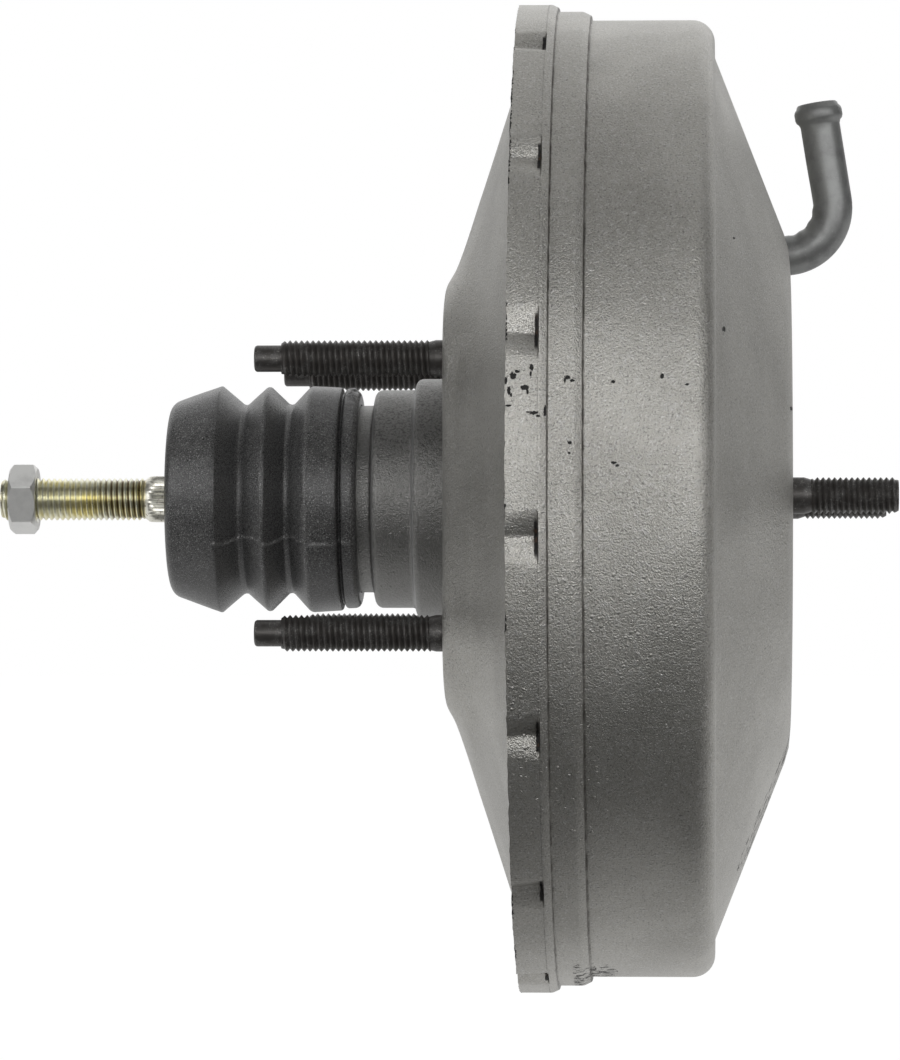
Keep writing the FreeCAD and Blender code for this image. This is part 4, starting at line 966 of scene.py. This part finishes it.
@dataclass
class FrontShell:
    """Pressed front shell: crimped band with lances, bead band, wall, cone, face and pilot cup."""

    sheet: float = 1.6
    edge_x: float = 15.8
    slit_x: float = 22.5
    flange_r: float = 111.1
    bead_r: float = 109.5
    wall_r: float = 107.5
    split_x: float = 27.4
    lances: int = 16
    first_deg: float = 95.1
    lance_half: Place = (5.2, 6.4)
    lance_depth: Place = (1.4, 2.2)
    nicks: float = 0.22
    paint: ShellPaint = field(default_factory=ShellPaint)

    def build(self, shop: Workshop) -> None:
        """Makes and dresses the band and the rest of the shell."""
        band = [
            (self.edge_x, self.flange_r), (22.9, self.flange_r, 2.0), (24.4, 110.4, 0.3),
            (24.5, self.bead_r, 0.3), (self.split_x, self.bead_r),
        ]
        lining = Outline(band, closed=False).moved(self.sheet)
        before, after = self.slit_x - 0.06, self.slit_x + 0.06
        marks = [(before, self.flange_r), (after, self.flange_r)]
        inner = [(after, self.flange_r - self.sheet), (before, self.flange_r - self.sheet)]
        loop = band[:1] + marks + band[1:] + lining[::-1][:-1] + inner + lining[:1]
        bm = spun(Outline(loop, reach=0.7), 1088)
        for vert in bm.verts:
            self.press(vert)
        shop.piece("crimped_band", bm, self.paint, Body.HOUSING)
        body = [
            (66.0, 12.0), (66.0, 18.5, 1.6), (76.0, 18.5, 2.0), (76.0, 56.3, 18.0),
            (59.25, 99.1, 2.0), (59.25, self.wall_r, 5.0), (31.8, self.wall_r, 0.3),
            (31.7, 108.6, 0.3), (29.9, self.bead_r, 2.0), (self.split_x, self.bead_r),
        ]
        shell = sheet(body[::-1], self.sheet, 360, 2.0)
        shop.piece("front_shell_pressing", shell, self.paint, Body.HOUSING, ["front_shell"])

    def press(self, vert: Vert) -> None:
        """Pushes one vertex of the band inwards where it lies in a lance, and wears its raw edge."""
        x, y, z = vert.co
        radius = radius_of(vert)
        bearing = math.degrees(math.atan2(-y, z)) - self.first_deg
        pitch = 360.0 / self.lances
        off = (bearing + pitch / 2) % pitch - pitch / 2
        side = abs(math.radians(off) * self.flange_r)
        rough = noise.noise(Vector((0.0, y, z)) * 0.35) + 0.5 * noise.noise(Vector((7.0, y, z)) * 1.1)
        if x < self.edge_x + 0.3:
            vert.co.x += self.nicks * rough
        if x > self.slit_x:
            return
        share = min(max((x - self.edge_x) / (self.slit_x - self.edge_x), 0.0), 1.0)
        own = noise.noise(Vector((3.7, 1.9, round((bearing - off) / pitch) * 2.3)))
        (edge_half, slit_half), (edge_depth, slit_depth) = self.lance_half, self.lance_depth
        half = (edge_half + (slit_half - edge_half) * share) * (1.0 + 0.2 * own)
        depth = (edge_depth + (slit_depth - edge_depth) * share) * (1.0 - 0.3 * own)
        sunk = depth * max(1.0 - side / half, 0.0) ** 1.4
        widen(vert, (radius - sunk) / radius)


@dataclass
class Studs:
    """Threaded studs at the firewall and for the master cylinder, with real thread forms."""

    major: float = 4.0
    pitch: float = 1.25
    depth: float = 0.62
    dog_r: float = 2.9
    firewall_places: tuple[Place, ...] = ((-43.0, -30.0), (-43.0, 30.0), (43.0, -30.0), (43.0, 30.0))
    cylinder_places: tuple[Place, ...] = ((-41.0, 0.0), (41.0, 0.0))
    steel: BlackSteel = field(default_factory=BlackSteel)

    def build(self, shop: Workshop) -> None:
        """Makes and dresses both sets."""
        dog = spun(Outline([(-41.3, 0.0), (-41.3, self.dog_r, 0.7), (-34.8, self.dog_r), (-34.8, 0.0)]), 40)
        head = [
            (7.0, 0.0), (7.0, 6.5, 0.8), (4.3, 6.5, 0.3), (4.3, self.major), (-1.6, self.major, 0.3),
            (-3.4, self.major - 0.45), (-3.4, 0.0),
        ]
        bar = threaded(-35.4, -1.8, self.major, self.depth, self.pitch)
        rear = spread(joined([dog, bar, spun(Outline(head), 40)]), self.firewall_places)
        shop.piece("firewall_stud_set", rear, self.steel, Body.HOUSING,
                   ["firewall_studs"], Shade.CREASED)
        shank = [
            (69.2, 0.0), (69.2, 6.5, 0.8), (71.9, 6.5, 0.3), (71.9, self.major), (78.6, self.major, 0.4),
            (80.2, self.major - 0.5), (80.2, 0.0),
        ]
        bar = threaded(79.6, 99.1, self.major, self.depth, self.pitch, ends=1.4)
        front = spread(joined([spun(Outline(shank), 40), bar]), self.cylinder_places)
        shop.piece("cylinder_stud_pair", front, self.steel, Body.HOUSING,
                   ["cylinder_studs"], Shade.CREASED)


@dataclass
class Nipple:
    """Bent vacuum tube with its rolled bead and open end."""

    tube_r: float = 4.5
    wall: float = 1.3
    start: Point = (68.9, 14.0, 55.6)
    bend_x: float = 75.1
    bend_r: float = 11.0
    turn_deg: float = 99.0
    run: Point = (3.0, 9.0, 15.0)
    creased: Point = (2.0, 14.0, 0.12)
    bead: tuple[Place, ...] = (
        (17.2, 0.0), (17.9, 0.25), (18.4, 0.75), (19.0, 0.95), (20.4, 0.95), (21.0, 0.75), (21.5, 0.3),
        (22.0, 0.15), (22.3, -0.15),
    )
    paint: TubePaint = field(default_factory=TubePaint)

    def build(self, shop: Workshop) -> None:
        """Makes and dresses the tube."""
        bm = bmesh.new()
        x, y, z = self.start
        place = Matrix.Translation((x, y, z)) @ Matrix.Rotation(math.pi / 2, 4, "Y")
        bmesh.ops.create_circle(bm, segments=40, radius=self.tube_r, matrix=place)
        edges = self.pushed(bm, bm.edges[:], Vector((self.bend_x - x, 0.0, 0.0)))
        turn = math.radians(self.turn_deg)
        swept = bmesh.ops.spin(
            bm, geom=edges + list({vert for edge in edges for vert in edge.verts}),
            cent=(self.bend_x, y, z + self.bend_r), axis=(0.0, -1.0, 0.0), angle=turn, steps=22,
        )
        edges = [item for item in swept["geom_last"] if isinstance(item, Edge)]
        heading = Vector((math.cos(turn), 0.0, math.sin(turn)))
        here = grown = 0.0
        for along, extra in tuple((along, 0.0) for along in self.run) + self.bead:
            edges = self.pushed(bm, edges, heading * (along - here))
            self.scaled(bm, edges, (self.tube_r + extra) / (self.tube_r + grown))
            here, grown = along, extra
        edges = self.pushed(bm, edges, ORIGIN)
        self.scaled(bm, edges, (self.tube_r - self.wall) / (self.tube_r + grown))
        self.pushed(bm, edges, heading * -20.0)
        self.crease(capped(bm))
        shop.piece("vacuum_tube", sealed(bm), self.paint, Body.HOUSING, ["vacuum_nipple"])

    def pushed(self, bm: Mesh, edges: list, way: Vector) -> list:
        """Extrudes a ring of edges along a way and returns the new ring."""
        made = bmesh.ops.extrude_edge_only(bm, edges=edges)["geom"]
        verts = verts_in(made)
        bmesh.ops.translate(bm, verts=verts, vec=way)
        return [item for item in made if isinstance(item, Edge)
                and all(vert in verts for vert in item.verts)]

    def scaled(self, bm: Mesh, edges: list, factor: float) -> None:
        """Scales a ring of edges about its middle."""
        verts = list({vert for edge in edges for vert in edge.verts})
        middle = sum((vert.co for vert in verts), Vector()) / len(verts)
        for vert in verts:
            vert.co = middle + (vert.co - middle) * factor

    def crease(self, bm: Mesh) -> None:
        """Wrinkles the inside of the bend a little, as bent tube is."""
        depth, waves, height = self.creased
        for vert in bm.verts:
            inside = Vector((vert.co.x - self.bend_x, 0.0, vert.co.z - self.start[2] - self.bend_r))
            if inside.length < self.bend_r - depth and inside.x > 0:
                wave = math.sin(math.atan2(inside.z, inside.x) * waves)
                vert.co += inside.normalized() * height * wave


@dataclass
class Boot:
    """Rubber bellows with its mould line, parting seam, groove and rolled lip."""

    wall: float = 1.7
    lip_x: float = -20.5
    front_x: float = -63.5
    hole_r: float = 8.3
    travel: float = 28.0
    mouth: tuple[Place, ...] = (
        (-60.9, 5.15), (-60.9, 11.6), (-60.5, 12.0), (-59.9, 12.0), (-59.9, 6.4), (-58.4, 5.7),
        (-58.4, 5.15),
    )
    seam_deg: float = 114.0
    seam_x: Place = (-53.0, -21.0)
    seam_half: float = 0.3
    seam_rubbed: float = 1.6
    seam_wave: Point = (1.3, -46.5, 0.62)
    calm_x: float = -34.0
    lump: Point = (-22.2, 1.3, 12.0, 14.0)
    outer_r: float = 20.0
    # Dust along the bellows, by X and amount; the drops to 0 on the flanks facing +X are painted shade.
    dust_and_painted_light: tuple[Place, ...] = (
        (-63.5, 0.5), (-61.0, 0.8), (-54.0, 0.75), (-52.4, 0.5), (-51.7, 0.05), (-47.4, 0.0), (-47.0, 1.0),
        (-46.5, 0.1), (-45.0, 0.3), (-42.2, 0.65), (-41.5, 1.0), (-40.9, 0.05), (-36.9, 0.0), (-36.5, 1.0),
        (-36.0, 0.2), (-33.0, 0.35), (-31.9, 1.2), (-31.2, 0.65), (-26.0, 0.7), (-25.1, 0.15), (-24.0, 0.0),
        (-22.6, 0.7), (-20.5, 0.4),
    )
    rubber: DustyRubber = DustyRubber(own_dust_and_shade=True)

    def build(self, shop: Workshop) -> None:
        """Makes the bellows and the mouth that rides on the rod."""
        skin = [
            (self.front_x, self.hole_r), (self.front_x, 21.6, 3.0), (-52.0, 25.65, 0.5), (-46.5, 20.9, 1.2),
            (-41.2, 25.7, 0.9), (-36.2, 20.8, 1.2), (-31.7, 25.6, 1.6), (-24.8, 25.2, 0.6),
            (-24.4, 23.7, 0.3), (-24.1, 23.7, 0.3), (-23.8, 24.7, 0.7),
        ]
        lining = Outline(skin[:7] + [(-25.4, 25.2)], closed=False).moved(self.wall)
        lip = [(self.lip_x, 24.5, 1.5), (self.lip_x, 21.25)]
        back = [(-26.1, 21.25), (-26.1, 23.5, 0.8)] + lining[:-1][::-1]
        bm = spun(Outline(skin + lip + back, reach=0.9), 400)
        # This layer holds the dust and the painted shade of the flanks facing +X.
        dust_and_shade_layer = bm.verts.layers.float.new(DustyRubber.pale_cover)
        for vert in bm.verts:
            vert[dust_and_shade_layer] = self.dust_and_shade_at(vert.co.x)
            self.mould(vert, dust_and_shade_layer)
        made = shop.piece("bellows", bm, self.rubber, Body.HOUSING, ["boot"])
        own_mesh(made)
        shop.piece("bellows_mouth", spun(Outline(self.mouth), 96), DustyRubber("mouth_rubber"), Body.ROD)

    def dust_and_shade_at(self, x: float) -> float:
        """Returns the dust at a place along the bellows, from 0 to 1; its drops to 0 on the flanks facing
        +X are painted shade.
        """
        for (low, first), (high, second) in zip(self.dust_and_painted_light, self.dust_and_painted_light[1:]):
            if x < high:
                return first + (second - first) * max(x - low, 0.0) / (high - low)
        return self.dust_and_painted_light[-1][1]

    def mould(self, vert: Vert, dust_and_shade_layer: bmesh.types.BMLayerItem) -> None:
        """Raises the wavy mould line on one vertex and gives the rubber its slight unevenness.

        Args:
            vert: The vertex to move.
            dust_and_shade_layer: The layer that holds the dust and the painted shade, which the rubbed line
                shows through.
        """
        x, y, z = vert.co
        radius = radius_of(vert)
        if radius < self.outer_r:
            return
        bearing = math.degrees(math.atan2(-y, z))
        height, start, speed = self.seam_wave
        drift = height * math.sin((x - start) * speed) * (1.0 if x < self.calm_x else 0.25)
        off = math.radians(abs(bearing) - self.seam_deg + drift) * radius
        low, high = self.seam_x
        line = math.exp(-((off / self.seam_half) ** 2)) if low < x < high else 0.0
        vert[dust_and_shade_layer] = max(vert[dust_and_shade_layer], self.seam_rubbed * line)
        uneven = 0.16 * noise.noise(Vector((x, y, z)) * 0.12)
        lump_x, lump_long, lump_deg, lump_wide = self.lump
        lump = math.exp(-(((x - lump_x) / lump_long) ** 2) - ((bearing - lump_deg) / lump_wide) ** 2)
        crumple = lump * (0.5 + 0.8 * noise.noise(Vector((x, y, z)) * 0.9))
        grown = (0.3 * line + uneven + crumple) / radius
        vert.co.y += y * grown
        vert.co.z += z * grown


@dataclass
class InputRod:
    """Input rod with its thread, knurled shank, spring collar and ball."""

    ball_x: float = -8.0
    knurl: Place = (-68.6, -62.0)
    knurls: int = 34
    knurled_r: float = 4.9
    ridge: float = 0.12
    groove: float = 0.34
    zinc: YellowZinc = field(default_factory=YellowZinc)

    def build(self, shop: Workshop) -> None:
        """Makes and dresses the rod."""
        ball = bmesh.new()
        bmesh.ops.create_uvsphere(ball, u_segments=32, v_segments=20, radius=5.0)
        bmesh.ops.translate(ball, verts=ball.verts, vec=(self.ball_x, 0.0, 0.0))
        bar = [
            (self.ball_x - 2.0, 0.0), (self.ball_x - 2.0, 3.6), (-40.0, 3.6, 1.0), (-40.0, 9.5, 0.4),
            (-41.5, 9.5, 0.4), (-41.5, 5.1, 1.0), (-68.6, 5.1, 0.5), (-69.6, 4.3), (-69.6, 0.0),
        ]
        shank = spun(Outline(bar, reach=0.9), 136)
        for vert in shank.verts:
            self.roll(vert)
        thread = threaded(-102.2, -69.2, 4.8, 0.66, 1.25, 48, 1.2)
        shop.piece("threaded_rod", joined([thread, shank, ball]), self.zinc, Body.ROD,
                   ["input_rod"], Shade.CREASED)

    def roll(self, vert: Vert) -> None:
        """Presses the knurl's grooves into one vertex of the shank."""
        x, y, z = vert.co
        radius = radius_of(vert)
        low, high = self.knurl
        if low < x < high and radius > self.knurled_r:
            sunk = 0.5 + 0.5 * math.cos(math.atan2(y, z) * self.knurls)
            fade = min((x - low) / 1.2, (high - x) / 1.2, 1.0)
            widen(vert, (radius + self.ridge * fade - self.groove * fade * sunk) / radius)


@dataclass
class LockNut:
    """Hexagon nut with chamfered faces and a chamfered, threaded mouth."""

    x_low: float = -100.2
    thick: float = 6.1
    flats: float = 14.0
    bore_r: float = 4.86
    turn_deg: float = 18.8
    spare: float = 0.4
    chamfer: float = 0.5
    steel: PlainSteel = PlainSteel("nut_steel", (0.80, 0.80, 0.78), 0.36, 0.2, 0.8)

    def build(self, shop: Workshop) -> None:
        """Makes and dresses the nut."""
        outer = self.flats / 2 + self.spare
        mouth = self.bore_r + self.chamfer
        high = self.x_low + self.thick
        loop = [
            (self.x_low, mouth), (self.x_low, outer - 0.9), (self.x_low, outer), (high, outer),
            (high, outer - 0.9), (high, mouth), (high - self.chamfer, self.bore_r),
            (self.x_low + self.chamfer, self.bore_r),
        ]
        bm = spun(Outline(loop, reach=0.7), 144)
        for vert in bm.verts:
            self.cut(vert, outer)
        shop.piece("hex_nut", sealed(bm), self.steel, Body.NUT, ["lock_nut"], Shade.CREASED)

    def cut(self, vert: Vert, outer: float) -> None:
        """Brings one vertex of the round blank to the hexagon and its chamfers."""
        x, y, z = vert.co
        radius = radius_of(vert)
        if radius < outer - 1e-3:
            return
        bearing = math.degrees(math.atan2(z, -y)) - self.turn_deg
        off = math.radians((bearing + 30.0) % 60.0 - 30.0)
        side = self.flats / 2 / math.cos(math.radians(30.0) - abs(off))
        high = self.x_low + self.thick
        drop = max(side - self.flats / 2 + 0.12, 0.0) * 0.8
        vert.co.x = min(max(x, self.x_low + drop), high - drop)
        widen(vert, side / radius)


@dataclass
class Diaphragm:
    """Rubber diaphragm in three stretches: the clamped bead, the rolling lobe and the web."""

    thick: float = 1.6
    rise: float = 3.09
    flat_r: float = 62.0
    web_x: float = 8.5
    lobe_x: float = 36.0
    legs: Place = (95.3, 105.6)
    steps: int = 184
    rubber: DustyRubber = DustyRubber("diaphragm_rubber", (0.03, 0.03, 0.03), (0.06, 0.06, 0.058), 0.3)

    def build(self, shop: Workshop) -> None:
        """Makes the three stretches."""
        low, high = self.legs
        fold = (high - low) / 2
        join_x = self.web_x + (low - self.flat_r) / self.rise + 3.0
        bead = [(24.7, 102.5, 1.0), (24.7, 107.5, 1.0), (30.0, 107.5, 1.0), (30.0, 102.5, 1.0)]
        shop.piece("diaphragm_bead", spun(Outline(bead), self.steps), self.rubber, Body.HOUSING)
        tip_x = self.lobe_x + fold
        outer = [(30.0, high), (tip_x, high, fold - 0.01), (tip_x, low + fold)]
        inner = [(tip_x, low + fold), (tip_x, low, fold - 0.01), (join_x, low)]
        ends = (("diaphragm_lobe_outer", outer, 2 * tip_x - 30.0, 30.0),
                ("diaphragm_lobe_inner", inner, join_x, 2 * tip_x - join_x))
        for name, path, piston_x, housing_x in ends:
            lobe = sheet(path, self.thick, self.steps)
            made = shop.piece(name, lobe, self.rubber, None)
            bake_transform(made)
        web = [
            (join_x, low), (self.web_x + (low - self.flat_r) / self.rise + 0.4, low, 1.5),
            (self.web_x + self.thick, self.flat_r, 8.0), (self.web_x + self.thick, 19.2),
        ]
        back = Outline(web, closed=False).moved(-self.thick)[::-1]
        shop.piece("diaphragm_web", spun(Outline(web + back), self.steps), self.rubber, Body.PISTON,
                   ["diaphragm"])


@dataclass
class Springs:
    """Return spring, poppet spring and rod spring."""

    steel: PlainSteel = PlainSteel("spring_wire", (0.36, 0.36, 0.37), 0.34, 0.2)
    main_x: Place = (17.1, 71.8)
    poppet_x: Place = (-28.1, -19.4)
    stroke: float = 28.0
    rod_x: Place = (-39.3, -30.7)
    travel: float = 2.0

    def build(self, shop: Workshop) -> None:
        """Winds the springs."""
        coils = (
            ("return", self.main_x, (25.2, 3.6, 6), Body.HOUSING, "piston_stroke", self.stroke),
            ("poppet", self.poppet_x, (10.4, 1.0, 4), Body.PISTON, "", 0.0),
            ("rod", self.rod_x, (8.2, 1.5, 4), Body.PISTON, "valve_travel", self.travel),
        )
        for name, ends, wound, body, joint, folded in coils:
            made = shop.piece(f"{name}_coil", coil(*ends, *wound), self.steel, body,
                              [f"{name}_spring"])
            if joint:
                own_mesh(made)


class InnerParts:
    """Sealed inner pieces whose frame nodes have the right shape and only need their finish."""

    finishes: ClassVar[tuple[tuple[Any, str], ...]] = (
        (PlainSteel("plate_steel", (0.50, 0.50, 0.49)), "rear_plate front_plate seal_retainer "
         "front_seal_retainer push_rod_retainer stop_key poppet_retainer"),
        (PlainSteel("zinc_plate", (0.60, 0.56, 0.42), 0.3), "diaphragm_plate"),
        (PlainSteel("turned_steel", (0.56, 0.56, 0.55), 0.28), "push_rod push_rod_bolt valve_plunger"),
        (Moulding("phenolic", (0.05, 0.05, 0.055)), "valve_body"),
        (Moulding("bearing_plastic", (0.62, 0.60, 0.54), 2.0, 0.02), "neck_bush filter_retainer"),
        (Moulding("foam", (0.08, 0.08, 0.085), 0.9, 0.4, 0.9), "air_filter"),
        (Moulding("felt", (0.36, 0.34, 0.30), 3.0, 0.2, 0.95), "silencer"),
        (DustyRubber("seal_rubber", dust_and_painted_light=0.15), "rear_seal front_seal reaction_disc poppet"),
    )

    def build(self, shop: Workshop) -> None:
        """Dresses the nodes."""
        for kind, names in self.finishes:
            shop.dress(kind, *names.split())


@dataclass
class Softbox:
    """One rectangular studio lamp, by its place, size and power, turned to its aim; millimetres."""

    name: str
    place: Point
    width: float
    height: float
    power: float
    aim: Point = (20.0, 0.0, 0.0)

    def build(self) -> None:
        """Hangs the lamp."""
        light = bpy.data.lights.new(self.name, "AREA")
        light.shape = "RECTANGLE"
        light.size, light.size_y = self.width * MM, self.height * MM
        light.energy = self.power
        lamp = bpy.data.objects.new(self.name, light)
        lamp.location = Vector(self.place) * MM
        lamp.rotation_euler = (Vector(self.aim) - Vector(self.place)).to_track_quat("-Z", "Y").to_euler()
        lamp.visible_camera = False
        bpy.context.scene.collection.objects.link(lamp)


@dataclass
class Studio:
    """Camera, floor, backdrop and lamps."""

    camera_place: Point = (57.0, -1241.5, -20.5)
    camera_aim: Point = (-0.56, 0.0, -7.0)
    lens: float = 186.8
    sensor: float = 36.0
    clip_end: float = 100.0
    floor_z: float = -111.6
    floor_size: float = 9000.0
    paper: float = 0.085
    paper_glow: float = 1.045
    paper_shown: float = 0.96
    floor_mirrored_y: Place = (-105.0, -10.0)
    ambient: float = 0.03
    mirrored: float = 0.75
    mirrored_from: Place = (0.45, 1.0)
    lamps: tuple[Softbox, ...] = (
        Softbox("front_box", (500.0, -1700.0, 310.0), 4000.0, 560.0, 23.0),
        Softbox("high_front_box", (200.0, -1250.0, 1050.0), 3000.0, 700.0, 3.0),
        Softbox("left_box", (-1700.0, -900.0, 420.0), 900.0, 700.0, 8.0),
        Softbox("top_box", (60.0, 300.0, 1200.0), 1800.0, 1000.0, 3.5),
        Softbox("back_box", (60.0, 1300.0, 900.0), 3200.0, 900.0, 6.5),
    )

    def build(self) -> None:
        """Sets the studio up."""
        scene = bpy.context.scene
        scene.view_settings.view_transform = "Standard"
        view = bpy.data.cameras.new("camera")
        view.lens = self.lens
        view.sensor_width = self.sensor
        view.clip_end = self.clip_end
        camera = bpy.data.objects.new("camera", view)
        camera.location = Vector(self.camera_place) * MM
        gaze = Vector(self.camera_aim) - Vector(self.camera_place)
        camera.rotation_euler = gaze.to_track_quat("-Z", "Y").to_euler()
        scene.collection.objects.link(camera)
        scene.camera = camera
        for lamp in self.lamps:
            lamp.build()
        self.sky()
        self.floor()

    def sky(self) -> None:
        """Makes the world white to the camera, and dim to the object but for what it mirrors behind it."""
        world = bpy.data.worlds.new("sky")
        nodes = Nodes(world)
        direction = nodes.node("ShaderNodeTexCoord").outputs["Generated"]
        back = nodes.node("ShaderNodeSeparateXYZ", {}, {0: direction}).outputs["Y"]
        low, high = self.mirrored_from
        values = {"Value": back, "From Min": low, "From Max": high, "To Max": self.mirrored}
        seen = nodes.seen_white(nodes.value("ShaderNodeMapRange", {}, values))
        glows = [
            nodes.node("ShaderNodeBackground", {}, {0: colour(1.0), 1: strength}).outputs[0]
            for strength in (self.ambient, 1.0)
        ]
        mixed = nodes.node("ShaderNodeMixShader", {}, {0: seen, 1: glows[0], 2: glows[1]})
        nodes.node("ShaderNodeOutputWorld", {}, {0: mixed.outputs[0]})
        bpy.context.scene.world = world

    def floor(self) -> None:
        """Lays the pale floor, which shows white with the booster's soft shadow."""
        bm = bmesh.new()
        bmesh.ops.create_grid(bm, x_segments=8, y_segments=8, size=self.floor_size / 2)
        bmesh.ops.translate(bm, verts=bm.verts, vec=(0.0, 0.0, self.floor_z))
        bmesh.ops.scale(bm, vec=(MM, MM, MM), verts=bm.verts)
        floor = placed("floor", bm)
        shader = Shader("floor_paper")
        glow = shader.node("ShaderNodeEmission", {}, {"Color": colour(1.0), "Strength": self.paper_glow})
        shader.wear(Base_Color=colour(self.paper), Roughness=0.9)
        seen = shader.seen_white(shader.y.rise(*self.floor_mirrored_y) * self.mirrored)
        values = {0: seen * self.paper_shown, 1: shader.surface.outputs[0], 2: glow.outputs[0]}
        mixed = shader.node("ShaderNodeMixShader", {}, values)
        shader.plug(shader.output, "Surface", mixed.outputs[0])
        floor.data.materials.append(shader.material)


def main() -> None:
    """Loads the frame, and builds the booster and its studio."""
    logging.basicConfig(level=logging.INFO, format="%(name)s %(message)s")
    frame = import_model()
    shop = Workshop(frame)
    sections: tuple[Any, ...] = (
        RearShell(), FrontShell(), Studs(), Nipple(), Boot(), InputRod(), LockNut(), Diaphragm(),
        Springs(), InnerParts(),
    )
    for section in sections:
        section.build(shop)
        LOG.info("%s done", type(section).__name__)
    Studio().build()


if __name__ == "__main__":
    main()
